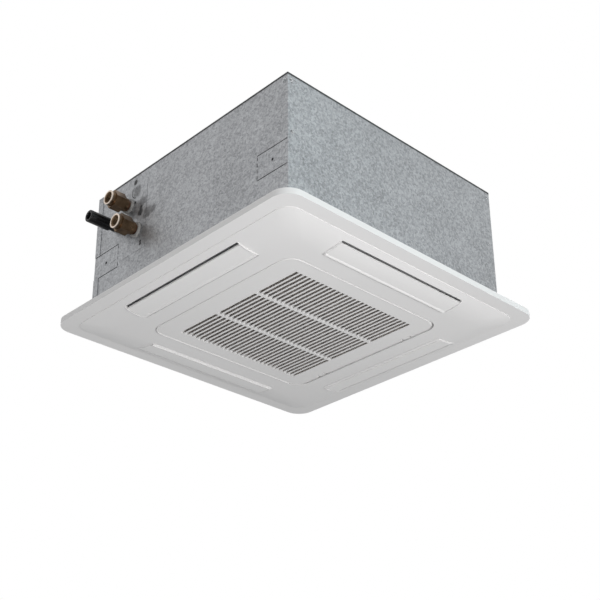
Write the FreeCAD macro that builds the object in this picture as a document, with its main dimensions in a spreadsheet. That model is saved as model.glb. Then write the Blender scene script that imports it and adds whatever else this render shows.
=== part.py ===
"""Ceiling cassette fan coil unit: galvanised casing, coil, fan and drain above a moulded four-way panel.

Millimetres, +Z up. The origin is at the centre of the ceiling plane, on which the panel's rim seats.
The pipes leave through the front (-Y) side of the casing.
"""
import FreeCAD
import Part
import Sketcher
import math
import os
import re

# Counts
SLOT_ROWS = 29
SLOT_BANDS = 3
BLADES = 7
FEEDERS = 4
RETURN_BENDS = 6
BEND_FACES = 8
PERFORATIONS = 4
FILTER_RIBS = 4
BUSHES = 3
TERMINALS = 6
SIDES = 4

# Driving sizes
SIZES = {
    # shared
    "overrun": 1.0,
    "seat_gap": 0.3,
    "run_gap": 0.05,
    # casing
    "casing_width": 575.0,
    "casing_height": 275.0,
    "casing_lift": 10.0,
    "sheet_wall": 1.0,
    "lap_width": 16.0,
    "bottom_flange": 12.0,
    "top_rim": 12.0,
    # knock-outs in the front sheet
    "knockout_width": 80.0,
    "knockout_height": 52.0,
    "knockout_rise": 81.0,
    "slit_width": 1.8,
    "slit_stop": 1.0,
    "perforation": 8.0,
    "pry_radius": 3.0,
    # hanger brackets
    "hanger_pitch": 480.0,
    "hanger_wall": 3.0,
    "hanger_rise": 20.0,
    "hanger_width": 40.0,
    "hanger_foot": 26.0,
    "hanger_tongue": 38.0,
    "hanger_slot_width": 9.5,
    "hanger_slot_length": 24.0,
    # pipe plate
    "plate_right": 120.0,
    "plate_width": 132.0,
    "plate_rise": 90.0,
    "plate_height": 162.0,
    "plate_lap": 10.0,
    "plate_slot_width": 5.0,
    "plate_slot_length": 22.0,
    "plate_slot_inset": 18.0,
    "plate_slot_rise": 79.0,
    "plate_oval_width": 7.0,
    "plate_oval_length": 13.0,
    "plate_oval_rise": 15.0,
    "plate_disc_radius": 15.0,
    "plate_disc_gap": 13.0,
    # pipes
    "return_offset": 178.0,
    "return_rise": 207.0,
    "supply_offset": 150.0,
    "supply_rise": 140.0,
    "pipe_radius": 11.0,
    "pipe_hole_gap": 2.5,
    "pipe_reach": 52.5,
    "union_length": 42.0,
    "union_flats": 34.0,
    "union_bore_radius": 12.06,
    "union_bore_depth": 18.0,
    "union_collar_radius": 15.0,
    "union_collar_length": 9.0,
    "union_neck_radius": 14.0,
    "union_neck_length": 9.0,
    "seal_wall": 8.0,
    # drain
    "drain_offset": 224.0,
    "drain_rise": 180.0,
    "drain_radius": 10.0,
    "drain_wall": 2.5,
    "hose_radius": 9.0,
    "drain_reach": 64.0,
    "drain_bore_depth": 46.0,
    # insulation and drain pan
    "liner_wall": 10.0,
    "pan_depth": 51.0,
    "pan_wall": 4.0,
    "duct_margin": 11.5,
    "duct_width": 36.0,
    "trough_width": 48.0,
    "trough_floor": 25.0,
    # coil
    "coil_gap": 1.0,
    "coil_depth": 45.0,
    "coil_bend": 30.0,
    "coil_end": 127.0,
    "end_plate_wall": 1.5,
    "row_inset": 11.5,
    "header_radius": 12.5,
    "header_foot": 26.0,
    "header_cap": 18.0,
    "feeder_radius": 5.0,
    "vent_radius": 5.0,
    "vent_length": 16.0,
    # inlet ring
    "throat_radius": 100.0,
    "bell_radius": 125.0,
    "bell_height": 67.0,
    "bell_flare": 40.0,
    "bell_wall": 1.5,
    "bell_rim": 3.0,
    # fan and motor
    "fan_radius": 150.0,
    "fan_gap": 4.0,
    "fan_overlap": 5.0,
    "fan_wall": 2.5,
    "fan_collar": 8.0,
    "shroud_rise": 4.0,
    "blade_wall": 3.0,
    "hub_radius": 14.0,
    "hub_length": 30.0,
    "hub_gap": 12.0,
    "shaft_radius": 5.0,
    "shaft_grip": 44.0,
    "nut_flats": 13.0,
    "nut_height": 7.0,
    "motor_radius": 58.0,
    "motor_height": 72.0,
    "motor_end_radius": 46.0,
    "motor_end_height": 12.0,
    "mount_wall": 4.0,
    "mount_reach": 88.0,
    "mount_arm": 28.0,
    "bush_radius": 10.0,
    "bush_height": 14.0,
    # drain pump
    "pump_width": 64.0,
    "pump_height": 56.0,
    "pump_side": 31.0,
    "nozzle_radius": 6.0,
    "nozzle_gap": 5.0,
    "stem_radius": 2.0,
    "stem_inset": 12.0,
    "stem_gap": 2.0,
    "float_radius": 8.0,
    "float_height": 13.0,
    # control box
    "box_length": 190.0,
    "box_height": 37.0,
    "box_wall": 1.2,
    "box_drop": 2.0,
    "box_margin": 5.0,
    "terminal_width": 13.0,
    "terminal_height": 18.0,
    "terminal_depth": 20.0,
    "capacitor_radius": 13.0,
    "capacitor_length": 46.0,
    "grommet_radius": 12.0,
    "grommet_bore": 6.0,
    "grommet_lip": 3.0,
    "grommet_offset": 200.0,
    "grommet_rise": 72.0,
    # panel
    "panel_width": 680.0,
    "panel_corner": 36.0,
    "panel_wall": 3.0,
    "lip_drop": 12.0,
    "lip_width": 30.0,
    "step_height": 1.2,
    "step_corner": 28.0,
    "panel_drop": 24.0,
    "plateau_margin": 6.0,
    "grille_margin": 40.0,
    "grille_corner": 28.0,
    "wall_rise": 4.0,
    "tab_inset": 16.0,
    "tab_reach": 10.0,
    "boss_radius": 8.0,
    "screw_radius": 3.0,
    "screw_head_radius": 5.5,
    "screw_head_height": 3.0,
    "screw_tip": 9.0,
    "strap_width": 25.0,
    "strap_wall": 2.0,
    "backing_gap": 0.5,
    "mouth_depth": 5.0,
    "gasket_width": 10.0,
    # vanes
    "vane_length": 325.0,
    "vane_wall": 3.2,
    "vane_bead": 3.0,
    "vane_proud": 1.6,
    "vane_inner_gap": 1.6,
    "vane_end_gap": 0.8,
    "vane_slit": 6.0,
    "vane_pin_radius": 2.0,
    "vane_lug_wall": 3.6,
    "vane_lug_height": 9.0,
    # intake grille
    "grille_gap": 2.5,
    "grille_wall": 3.0,
    "grille_rim": 18.0,
    "grille_edge": 3.0,
    "slat_margin_side": 34.5,
    "slat_margin_end": 44.5,
    "slat_depth": 6.0,
    "cross_rib": 6.0,
    "hinge_radius": 1.5,
    "hinge_inset": 7.5,
    "hinge_rise": 3.0,
    "hinge_lug_width": 14.0,
    "hinge_lug_wall": 2.0,
    "hinge_ear_wall": 4.0,
    "hinge_ear_radius": 2.6,
    "hinge_side_gap": 1.0,
    "hinge_notch_gap": 6.0,
    "catch_width": 12.0,
    "catch_wall": 3.0,
    "catch_height": 23.0,
    "catch_inset": 10.0,
    "catch_gap": 0.9,
    "socket_wall": 2.0,
    # filter
    "filter_margin": 30.0,
    "filter_height": 8.0,
    "filter_bar": 8.0,
    "filter_rib": 4.0,
    "net_wall": 0.8,
    # shares of the sizes that they follow
    "vane_share": 0.667,
    "slot_share": 0.6,
    "slat_lean_share": 1.0,
    "hinge_share": 0.6,
    "blade_root_share": 0.58,
    "blade_tip_x_share": 0.78,
    "blade_tip_y_share": 0.58,
    "blade_curve_share": 0.75,
}

# Places worked out from the driving sizes
PLACES = {
    "casing_half": "casing_width / 2",
    "casing_low": "casing_lift",
    "casing_top": "casing_lift + casing_height",
    "sheet_in": "casing_half - sheet_wall",
    "rim_in": "sheet_in - sheet_wall",
    "rim_half": "rim_in - lap_width - sheet_wall",
    "flange_in": "sheet_in - bottom_flange",
    "knock_in": "casing_half - knockout_width",
    "knock_low": "casing_low + knockout_rise",
    "knock_high": "knock_low + knockout_height",
    "plate_left": "plate_right + plate_width",
    "plate_low": "casing_low + plate_rise",
    "plate_high": "plate_low + plate_height",
    "return_z": "casing_low + return_rise",
    "supply_z": "casing_low + supply_rise",
    "drain_z": "casing_low + drain_rise",
    "union_mouth": "casing_half + pipe_reach",
    "union_foot": "union_mouth - union_length",
    "drain_mouth": "casing_half + drain_reach",
    "pan_low": "casing_low + sheet_wall",
    "pan_top": "pan_low + pan_depth",
    "duct_out": "rim_in - duct_margin",
    "duct_in": "duct_out - duct_width",
    "duct_half": "vane_half + vane_end_gap",
    "trough_out": "duct_in - pan_wall",
    "trough_in": "trough_out - trough_width",
    "trough_low": "pan_low + trough_floor",
    "liner_top": "casing_top - sheet_wall",
    "liner_low": "liner_top - liner_wall",
    "coil_out": "trough_out - coil_gap",
    "coil_in": "coil_out - coil_depth",
    "inner_row": "coil_in + row_inset",
    "outer_row": "coil_out - row_inset",
    "end_face": "coil_end + end_plate_wall",
    "bell_top": "pan_low + bell_height",
    "fan_low": "bell_top - fan_overlap",
    "fan_inlet": "throat_radius + bell_wall + fan_gap",
    "mount_top": "liner_top - bush_height",
    "motor_top": "mount_top - mount_wall",
    "motor_low": "motor_top - motor_height",
    "fan_top": "motor_low - hub_gap",
    "hub_low": "fan_top - hub_length",
    "pump_x": "drain_offset",
    "pump_right": "pump_x - pump_width / 2",
    "pump_left": "pump_x + pump_width / 2",
    "pump_y": "casing_half - liner_wall - pump_side - pump_width / 2 + sheet_wall",
    "pump_front": "pump_y + pump_width / 2",
    "pump_rear": "pump_y - pump_width / 2",
    "pump_low": "pan_top",
    "pump_top": "pump_low + pump_height",
    "box_in": "bell_radius + box_margin",
    "box_out": "trough_in - pan_wall",
    "box_low": "pan_low - box_drop",
    "box_top": "box_low + box_height",
    "panel_half": "panel_width / 2",
    "lip_z": "-lip_drop",
    "step_half": "panel_half - lip_width",
    "plateau_z": "-panel_drop",
    "plateau_half": "duct_in + plateau_margin",
    "shoulder_run": "step_half - plateau_half",
    "shoulder_drop": "panel_drop - lip_drop - step_height",
    "shoulder_radius": "(shoulder_run ^ 2 + shoulder_drop ^ 2) / (2 * shoulder_drop)",
    "opening_half": "plateau_half - grille_margin",
    "wall_out": "opening_half + panel_wall",
    "tab_place": "opening_half - tab_inset",
    "vane_half": "vane_length / 2",
    "vane_in": "plateau_half",
    "vane_pivot": "vane_in + vane_bead",
    "vane_pivot_z": "plateau_z + vane_bead",
    "bead_z": "plateau_z + vane_bead - vane_proud",
    "vane_out": "plateau_half + vane_share * shoulder_run",
    "vane_out_z": "plateau_z - vane_proud + shoulder_drop * vane_share ^ 2",
    "vane_hole_in": "vane_in - vane_inner_gap",
    "vane_hole_out": "vane_out + vane_slit",
    "backing_in": "vane_hole_in - 2 * panel_wall",
    "backing_out": "panel_half - panel_wall - backing_gap",
    "grille_half": "opening_half - grille_gap",
    "slat_half_x": "grille_half - slat_margin_side",
    "slat_half_y": "grille_half - slat_margin_end",
    "slot_pitch": f"2 * slat_half_y / {SLOT_ROWS}",
    "slot_width": "slot_pitch * slot_share",
    "band_width": f"(2 * slat_half_x - ({SLOT_BANDS} - 1) * cross_rib) / {SLOT_BANDS}",
    "slat_top": "plateau_z + slat_depth",
    "hinge_y": "grille_half - hinge_inset",
    "hinge_z": "plateau_z + hinge_rise",
    "hinge_x": "grille_half * hinge_share",
    "hinge_half": "hinge_lug_width / 2",
    "hinge_bore": "hinge_radius + run_gap",
    "catch_y": "grille_half - catch_inset",
    "catch_top": "plateau_z + grille_wall + catch_height",
    "filter_half_x": "grille_half - filter_margin",
    "filter_half_y": "grille_half - filter_margin",
    "filter_top": "slat_top + filter_height",
}

document = FreeCAD.newDocument("ceiling_cassette")
sheet = document.addObject("Spreadsheet::Sheet", "Sizes")
for row, (alias, size) in enumerate(SIZES.items(), start=1):
    sheet.set(f"A{row}", alias)
    sheet.set(f"B{row}", str(size))
    sheet.setAlias(f"B{row}", alias)
document.recompute()

X, Y, Z = FreeCAD.Vector(1, 0, 0), FreeCAD.Vector(0, 1, 0), FreeCAD.Vector(0, 0, 1)
QUARTER = 90
DIAGONAL = 45
HALF = 180
ALONG = {
    "x": FreeCAD.Rotation(Y, QUARTER),
    "-x": FreeCAD.Rotation(Y, -QUARTER),
    "y": FreeCAD.Rotation(X, -QUARTER),
    "-y": FreeCAD.Rotation(X, QUARTER),
    "z": FreeCAD.Rotation(),
    "-z": FreeCAD.Rotation(X, HALF),
}
parts = []


# Formulas and checks
def formula(text):
    """Write a sum of named sizes and places as a formula on the sheet's cells."""

    def swap(match):
        word = match.group()
        if word in PLACES:
            return f"({formula(PLACES[word])})"
        return f"Sizes.{word}" if word in SIZES else word

    return re.sub(r"[a-z][a-z0-9_]*", swap, text)


def value(text):
    """The present value of a sum of named sizes and places."""
    return float(sheet.evalExpression(formula(text)))


def bind(item, **formulas):
    """Tie an object's properties to formulas."""
    for name, text in formulas.items():
        item.setExpression(name, formula(text))


def seat(item, x, y, z):
    """Tie an object's place to three formulas."""
    for axis, text in zip("xyz", (x, y, z)):
        item.setExpression(f"Placement.Base.{axis}", formula(text))


def keep(item, label):
    """Count an object among the finished pieces, under the name of its file."""
    item.Label = label
    parts.append(item)
    return item


# Simple solids
def block(x, y, z):
    """A box between a low and a high place on each axis."""
    item = document.addObject("Part::Box", "block")
    for side, (low, high) in zip(("Length", "Width", "Height"), (x, y, z)):
        item.setExpression(side, formula(f"({high}) - ({low})"))
    seat(item, x[0], y[0], z[0])
    return item


def rod(radius, foot, length, along="z"):
    """A round bar from its foot along one axis."""
    item = document.addObject("Part::Cylinder", "rod")
    item.Placement = FreeCAD.Placement(FreeCAD.Vector(), ALONG[along])
    bind(item, Radius=radius, Height=length)
    seat(item, *foot)
    return item


def hexagon(flats, foot, length, along="z"):
    """A six-sided bar from its foot along one axis."""
    item = document.addObject("Part::Prism", "hexagon")
    item.Polygon = 6
    item.Placement = FreeCAD.Placement(FreeCAD.Vector(), ALONG[along])
    bind(item, Circumradius=f"({flats}) / sqrt(3)", Height=length)
    seat(item, *foot)
    return item


def fuse(*pieces):
    """One solid from pieces that meet."""
    if len(pieces) == 1:
        return pieces[0]
    item = document.addObject("Part::MultiFuse", "fuse")
    item.Shapes = list(pieces)
    item.Refine = True
    return item


def group(*pieces):
    """Separate solids kept together."""
    item = document.addObject("Part::Compound", "group")
    item.Links = list(pieces)
    return item


def cut(base, *tools):
    """A piece less its cuts."""
    item = document.addObject("Part::Cut", "cut")
    item.Base = base
    item.Tool = tools[0] if len(tools) == 1 else group(*tools)
    return item


def turned(piece, degrees):
    """A piece turned about the unit's vertical axis."""
    item = group(piece)
    item.Placement = FreeCAD.Placement(FreeCAD.Vector(), FreeCAD.Rotation(Z, degrees))
    return item


def span(sign, near, far):
    """The low and high places of a stretch on one side of the centre."""
    return (near, far) if sign > 0 else (f"-({far})", f"-({near})")


def both(half):
    """The low and high places of a stretch across the centre."""
    return (f"-({half})", half)


def four_sides(half, out, z):
    """A box on each of the four sides, at the same distance from the centre."""
    found = []
    for sign in (-1, 1):
        found.append(block(both(half), span(sign, *out), z))
        found.append(block(span(sign, *out), both(half), z))
    return found


def corner_blocks(inner, out, half, z):
    """An L-shaped block at each corner of a frame, between the ends of its four windows."""
    found = []
    for right in (-1, 1):
        for back in (-1, 1):
            bars = (block(span(right, half, out), span(back, inner, out), z),
                    block(span(right, inner, out), span(back, half, inner), z))
            found.append(fuse(*bars))
    return found


def ring(out, inner, z):
    """A square ring about the vertical axis."""
    hole = (f"{z[0]} - overrun", f"{z[1]} + overrun")
    return cut(block(both(out), both(out), z), block(both(inner), both(inner), hole))


# Sketched solids
def body_of(name):
    """An empty body for sketched features."""
    return document.addObject("PartDesign::Body", name)


def sketch_on(body, role, offset="0"):
    """A sketch on one of the body's own planes, moved along the plane's normal."""
    sketch = body.newObject("Sketcher::SketchObject", "outline")
    plane = next(item for item in body.Origin.OriginFeatures if item.Role == role)
    sketch.AttachmentSupport = [(plane, "")]
    sketch.MapMode = "FlatFace"
    sketch.setExpression("AttachmentOffset.Base.z", formula(offset))
    return sketch


def hold(sketch, geometry, point, x, y):
    """Tie one point of a sketch to two formulas."""
    for kind, text in (("DistanceX", x), ("DistanceY", y)):
        index = sketch.addConstraint(Sketcher.Constraint(kind, geometry, point, value(text)))
        sketch.setExpression(f"Constraints[{index}]", formula(text))


def arc_between(start, end, radius, side):
    """An arc from start to end, its middle on the left (side 1) or right (side -1) of the chord."""
    chord = end - start
    left = FreeCAD.Vector(-chord.y, chord.x, 0).normalize()
    sagitta = radius - math.sqrt(max(radius ** 2 - (chord.Length / 2) ** 2, 0))
    return Part.Arc(start, (start + end) / 2 + left * side * sagitta, end)


def draw(sketch, *outlines):
    """Draw closed outlines: a corner is x, y and, where an arc leaves it, the arc's radius and side."""
    for outline in outlines:
        places = [FreeCAD.Vector(value(corner[0]), value(corner[1]), 0) for corner in outline]
        ends = []
        for index, corner in enumerate(outline):
            start, end = places[index], places[(index + 1) % len(places)]
            if len(corner) == 2:
                made = sketch.addGeometry(Part.LineSegment(start, end), False)
                ends.append((made, 1, 2))
                continue
            made = sketch.addGeometry(arc_between(start, end, value(corner[2]), corner[3]), False)
            first_is_start = sketch.getPoint(made, 1).distanceToPoint(start) < sketch.getPoint(
                made, 2
            ).distanceToPoint(start)
            ends.append((made, 1, 2) if first_is_start else (made, 2, 1))
        for index, corner in enumerate(outline):
            made, start, _ = ends[index]
            before, _, before_end = ends[index - 1]
            hold(sketch, made, start, corner[0], corner[1])
            sketch.addConstraint(Sketcher.Constraint("Coincident", before, before_end, made, start))
            if len(corner) > 2:
                fixed = sketch.addConstraint(Sketcher.Constraint("Radius", made, value(corner[2])))
                sketch.setExpression(f"Constraints[{fixed}]", formula(corner[2]))


def draw_circle(sketch, x, y, radius):
    """Draw a circle at a named place."""
    centre = FreeCAD.Vector(value(x), value(y), 0)
    made = sketch.addGeometry(Part.Circle(centre, Z, value(radius)), False)
    hold(sketch, made, 3, x, y)
    fixed = sketch.addConstraint(Sketcher.Constraint("Radius", made, value(radius)))
    sketch.setExpression(f"Constraints[{fixed}]", formula(radius))


def rectangle(x, y):
    """The four corners of a rectangle, in order."""
    return [(x[0], y[0]), (x[1], y[0]), (x[1], y[1]), (x[0], y[1])]


def rounded_square(half, corner):
    """A square with round corners, about the centre."""
    near = f"{half} - {corner}"
    return [
        (f"-({near})", f"-({half})"),
        (near, f"-({half})", corner, -1),
        (half, f"-({near})"),
        (half, near, corner, -1),
        (near, half),
        (f"-({near})", half, corner, -1),
        (f"-({half})", near),
        (f"-({half})", f"-({near})", corner, -1),
    ]


def pad(body, sketch, length):
    """Raise a sketch into a solid along its normal."""
    feature = body.newObject("PartDesign::Pad", "pad")
    feature.Profile = sketch
    bind(feature, Length=length)
    return feature


def pocket(body, sketch, length, up=True):
    """Cut a sketch out of the body, along its normal or against it."""
    feature = body.newObject("PartDesign::Pocket", "pocket")
    feature.Profile = sketch
    feature.Reversed = up
    bind(feature, Length=length)
    return feature


def revolve(body, sketch):
    """Turn a sketch round the vertical axis."""
    feature = body.newObject("PartDesign::Revolution", "revolution")
    feature.Profile = sketch
    feature.ReferenceAxis = (sketch, ["V_Axis"])
    return feature


# Casing
def make_top_plate():
    """The flat lid, with rims turned down inside the side sheets."""
    lid = block(both("sheet_in"), both("sheet_in"), ("liner_top", "casing_top"))
    rims = four_sides("rim_half", ("rim_in", "sheet_in"), ("liner_top - top_rim", "liner_top"))
    keep(fuse(lid, *rims), "top_plate")


def bent_sheet(sign):
    """A front or rear sheet: its face, a flange inside each vertical edge and one along its foot."""
    face = block(both("sheet_in"), span(sign, "sheet_in", "casing_half"), ("casing_low", "casing_top"))
    pieces = [face]
    for end in (-1, 1):
        x = span(end, "rim_in", "sheet_in")
        pieces.append(block(x, span(sign, "sheet_in - lap_width", "sheet_in"), ("casing_low", "liner_top")))
    foot = ("casing_low", "pan_low")
    pieces.append(block(both("rim_in"), span(sign, "flange_in", "sheet_in"), foot))
    return fuse(*pieces)


def knockout_cuts(sign):
    """Two slits, a perforated fold line and a pry hole that mark one knock-out in the front sheet."""
    y = ("-casing_half - overrun", "-sheet_in + overrun")
    cuts = []
    for level in ("knock_low", "knock_high"):
        z = (f"{level} - slit_width / 2", f"{level} + slit_width / 2")
        cuts.append(block(span(sign, "knock_in", "sheet_in - slit_stop"), y, z))
    fold = span(sign, "knock_in - slit_width / 2", "knock_in + slit_width / 2")
    for index in range(PERFORATIONS):
        middle = f"knock_low + knockout_height * {index + 0.5} / {PERFORATIONS}"
        cuts.append(block(fold, y, (f"{middle} - perforation / 2", f"{middle} + perforation / 2")))
    x = f"{sign} * (knock_in + knockout_width / 2)"
    foot = (x, "-sheet_in + overrun", "(knock_low + knock_high) / 2")
    cuts.append(rod("pry_radius", foot, "sheet_wall + 2 * overrun", "-y"))
    return cuts


def pipe_opening(y):
    """The hole behind the pipe plate."""
    x = span(-1, "plate_right + plate_lap", "plate_left - plate_lap")
    return block(x, y, ("plate_low + plate_lap", "plate_high - plate_lap"))


def make_side_sheets():
    """Four side sheets, lapped and flanged at the corners as bent sheet metal is."""
    hole = pipe_opening(("-casing_half - overrun", "-sheet_in + overrun"))
    front = cut(bent_sheet(-1), hole, *knockout_cuts(-1), *knockout_cuts(1))
    keep(front, "pipe_side_sheet")
    foot = ("grommet_offset", "sheet_in - overrun", "casing_low + grommet_rise")
    cable_hole = rod("grommet_radius", foot, "sheet_wall + 2 * overrun", "y")
    keep(cut(bent_sheet(1), cable_hole), "rear_side_sheet")
    for sign, label in ((1, "right_side_sheet"), (-1, "left_side_sheet")):
        x = span(sign, "sheet_in", "casing_half")
        face = block(x, both("casing_half"), ("casing_low", "casing_top"))
        foot = block(span(sign, "flange_in", "sheet_in"), both("rim_half"), ("casing_low", "pan_low"))
        pieces = [face, foot]
        if sign > 0:
            keep(fuse(*pieces), label)
            continue
        lap = span(sign, "casing_half - lap_width", "casing_half")
        for end in (-1, 1):
            y = span(end, "casing_half", "casing_half + sheet_wall")
            pieces.append(block(lap, y, ("casing_low", "casing_top")))
        notch_x = span(sign, "casing_half - lap_width - overrun", "casing_half + overrun")
        notch_y = ("-casing_half - sheet_wall - overrun", "-casing_half")
        notch = block(notch_x, notch_y, ("knock_low", "knock_high"))
        keep(cut(fuse(*pieces), notch), label)


def make_hanger_brackets():
    """Four bent straps on the lid, each slotted for a hanging rod."""
    names = ("front_right", "rear_right", "rear_left", "front_left")
    signs = ((1, -1), (1, 1), (-1, 1), (-1, -1))
    tongue_top = "casing_top + hanger_rise"
    reach = "hanger_pitch / 2 + hanger_tongue / 2"
    bend = "hanger_pitch / 2 - hanger_tongue / 2"
    for name, (right, back) in zip(names, signs):
        y = (
            f"{back} * hanger_pitch / 2 - hanger_width / 2",
            f"{back} * hanger_pitch / 2 + hanger_width / 2",
        )
        foot = block(
            span(right, f"{bend} - hanger_foot", f"{bend} + hanger_wall"),
            y,
            ("casing_top", "casing_top + hanger_wall"),
        )
        riser = block(span(right, bend, f"{bend} + hanger_wall"), y, ("casing_top", tongue_top))
        tongue_z = (f"{tongue_top} - hanger_wall", tongue_top)
        tongue = block(span(right, bend, reach), y, tongue_z)
        cutter_z = f"{tongue_top} - hanger_wall - overrun"
        depth = "hanger_wall + 2 * overrun"
        half = "(hanger_slot_length - hanger_slot_width) / 2"
        middle = (f"{right} * hanger_pitch / 2", f"{back} * hanger_pitch / 2")
        slot = block(
            (f"{middle[0]} - {half}", f"{middle[0]} + {half}"),
            (f"{middle[1]} - hanger_slot_width / 2", f"{middle[1]} + hanger_slot_width / 2"),
            (cutter_z, f"{cutter_z} + {depth}"),
        )
        ends = [
            rod("hanger_slot_width / 2", (f"{middle[0]} {sign} {half}", middle[1], cutter_z), depth)
            for sign in "+-"
        ]
        keep(cut(fuse(foot, riser, tongue), fuse(slot, *ends)), f"hanger_bracket_{name}")


# Pipes and drain
def make_pipe_plate():
    """The plate over the pipe opening, with a hole for each pipe and its punched slots."""
    y = ("-casing_half - sheet_wall", "-casing_half")
    through = ("-casing_half - sheet_wall - overrun", "-casing_half + overrun")
    depth = "sheet_wall + 2 * overrun"
    plate = block(span(-1, "plate_right", "plate_left"), y, ("plate_low", "plate_high"))
    cuts = []
    holes = (
        ("return_offset", "return_z", "pipe_radius + pipe_hole_gap"),
        ("supply_offset", "supply_z", "pipe_radius + pipe_hole_gap"),
        ("drain_offset", "drain_z", "hose_radius + seat_gap"),
    )
    for offset, z, radius in holes:
        cuts.append(rod(radius, (f"-{offset}", through[1], z), depth, "-y"))
    slot_x = "plate_right + plate_slot_inset"
    low = "plate_low + plate_slot_rise"
    slot = span(-1, f"{slot_x} - plate_slot_width / 2", f"{slot_x} + plate_slot_width / 2")
    cuts.append(block(slot, through, (low, f"{low} + plate_slot_length")))
    oval_x = "plate_right + plate_slot_inset - plate_oval_width / 2"
    for end in ("+", "-"):
        z = f"plate_low + plate_oval_rise {end} (plate_oval_length - plate_oval_width) / 2"
        cuts.append(rod("plate_oval_width / 2", (f"-({oval_x})", through[1], z), depth, "-y"))
    disc_z = "return_z + pipe_radius + pipe_hole_gap + plate_disc_gap"
    disc = (f"-return_offset + plate_disc_radius + plate_disc_gap / 2", through[1], disc_z)
    outer = rod("plate_disc_radius", disc, depth, "-y")
    core = rod("plate_disc_radius - slit_width", (disc[0], "-casing_half + 2 * overrun", disc_z),
               "sheet_wall + 4 * overrun", "-y")
    mask = block((disc[0], f"{disc[0]} + 2 * plate_disc_radius"),
                 ("-casing_half - sheet_wall - 2 * overrun", "-casing_half + 2 * overrun"),
                 (f"{disc_z} - 2 * plate_disc_radius", f"{disc_z} + 2 * plate_disc_radius"))
    cuts.append(cut(outer, core, mask))
    keep(cut(plate, *cuts), "pipe_plate")
    seal_y = ("-casing_half", "-casing_half + seal_wall")
    inset = "(plate_lap + seat_gap)"
    seal = block(span(-1, f"plate_right + {inset}", f"plate_left - {inset}"), seal_y,
                 (f"plate_low + {inset}", f"plate_high - {inset}"))
    seal_cuts = [
        rod(radius, (f"-{offset}", "-casing_half + seal_wall + overrun", z),
            "seal_wall + 2 * overrun", "-y")
        for offset, z, radius in (
            ("return_offset", "return_z", "pipe_radius"),
            ("supply_offset", "supply_z", "pipe_radius"),
            ("drain_offset", "drain_z", "hose_radius"),
        )
    ]
    keep(cut(seal, *seal_cuts), "pipe_seal")


def make_union(offset, z, label):
    """A brass union: round neck, hexagon, collar and threaded socket, opening to the front."""
    x = f"-{offset}"
    hex_length = "union_length - union_collar_length - union_neck_length"
    neck = rod("union_neck_radius", (x, "-union_foot", z), "union_neck_length", "-y")
    nut = hexagon("union_flats", (x, "-union_foot - union_neck_length", z), hex_length, "-y")
    collar_foot = "-union_mouth + union_collar_length"
    collar = rod("union_collar_radius", (x, collar_foot, z), "union_collar_length", "-y")
    bore = rod("union_bore_radius", (x, "-union_mouth + union_bore_depth", z),
               "union_bore_depth + overrun", "-y")
    keep(cut(fuse(neck, nut, collar), bore), label)


def make_header(offset, row, z, label):
    """A copper header beside the coil's end, with its feeders and the pipe to its union."""
    foot = "trough_low + header_foot"
    top = f"{z} + header_cap"
    x, y = f"-{offset}", f"-{row}"
    pieces = [rod("header_radius", (x, y, foot), f"{top} - ({foot})")]
    pieces.append(rod("pipe_radius", (x, y, z), f"union_foot - {row}", "-y"))
    for index in range(FEEDERS):
        level = f"({foot}) + ({top} - ({foot})) * {index + 0.5} / {FEEDERS}"
        pieces.append(rod("feeder_radius", (x, y, level), f"{offset} - end_face", "x"))
    keep(fuse(*pieces), label)


def make_pipes():
    """Both headers with their unions, and the air vent on top of the return header."""
    make_header("return_offset", "inner_row", "return_z", "return_header")
    make_header("supply_offset", "outer_row", "supply_z", "supply_header")
    make_union("return_offset", "return_z", "return_union")
    make_union("supply_offset", "supply_z", "supply_union")
    place = ("-return_offset", "-inner_row", "return_z + header_cap")
    stem = rod("vent_radius", place, "vent_length")
    cap_foot = (place[0], place[1], "return_z + header_cap + vent_length / 2")
    cap = hexagon("3 * vent_radius", cap_foot, "vent_length / 2")
    keep(fuse(stem, cap), "air_vent")


def make_drain():
    """Drain pump in the open corner of the coil, its float, and the hose stub out of the front."""
    x = span(-1, "pump_right", "pump_left")
    y = span(-1, "pump_rear", "pump_front")
    housing = block(x, y, ("pump_low", "pump_top"))
    nozzle_length = "pump_low - trough_low - nozzle_gap"
    nozzle = rod("nozzle_radius", ("-pump_x", "-pump_y", "pump_low"), nozzle_length, "-z")
    stem_place = ("-pump_right - stem_inset", "-pump_rear - stem_inset", "pump_low")
    stem = rod("stem_radius", stem_place, "pump_low - trough_low - stem_gap", "-z")
    keep(fuse(housing, nozzle, stem), "drain_pump")
    float_foot = (stem_place[0], stem_place[1], "trough_low + seat_gap")
    shell = rod("float_radius", float_foot, "float_height")
    bore_foot = (stem_place[0], stem_place[1], "trough_low + seat_gap - overrun")
    bore = rod("stem_radius + run_gap", bore_foot, "float_height + 2 * overrun")
    keep(cut(shell, bore), "pump_float")
    spigot = rod("drain_radius", ("-drain_offset", "-drain_mouth", "drain_z"),
                 "drain_mouth - casing_half - sheet_wall", "y")
    hose = rod("hose_radius", ("-drain_offset", "-casing_half - sheet_wall", "drain_z"),
               "casing_half + sheet_wall - pump_y", "y")
    drop = rod("hose_radius", ("-drain_offset", "-pump_y", "pump_top"), "drain_z - pump_top")
    elbow = document.addObject("Part::Sphere", "elbow")
    bind(elbow, Radius="hose_radius")
    seat(elbow, "-drain_offset", "-pump_y", "drain_z")
    bore = rod("drain_radius - drain_wall", ("-drain_offset", "-drain_mouth - overrun", "drain_z"),
               "drain_bore_depth + overrun", "y")
    keep(cut(fuse(spigot, hose, drop, elbow), bore), "drain_stub")


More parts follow.
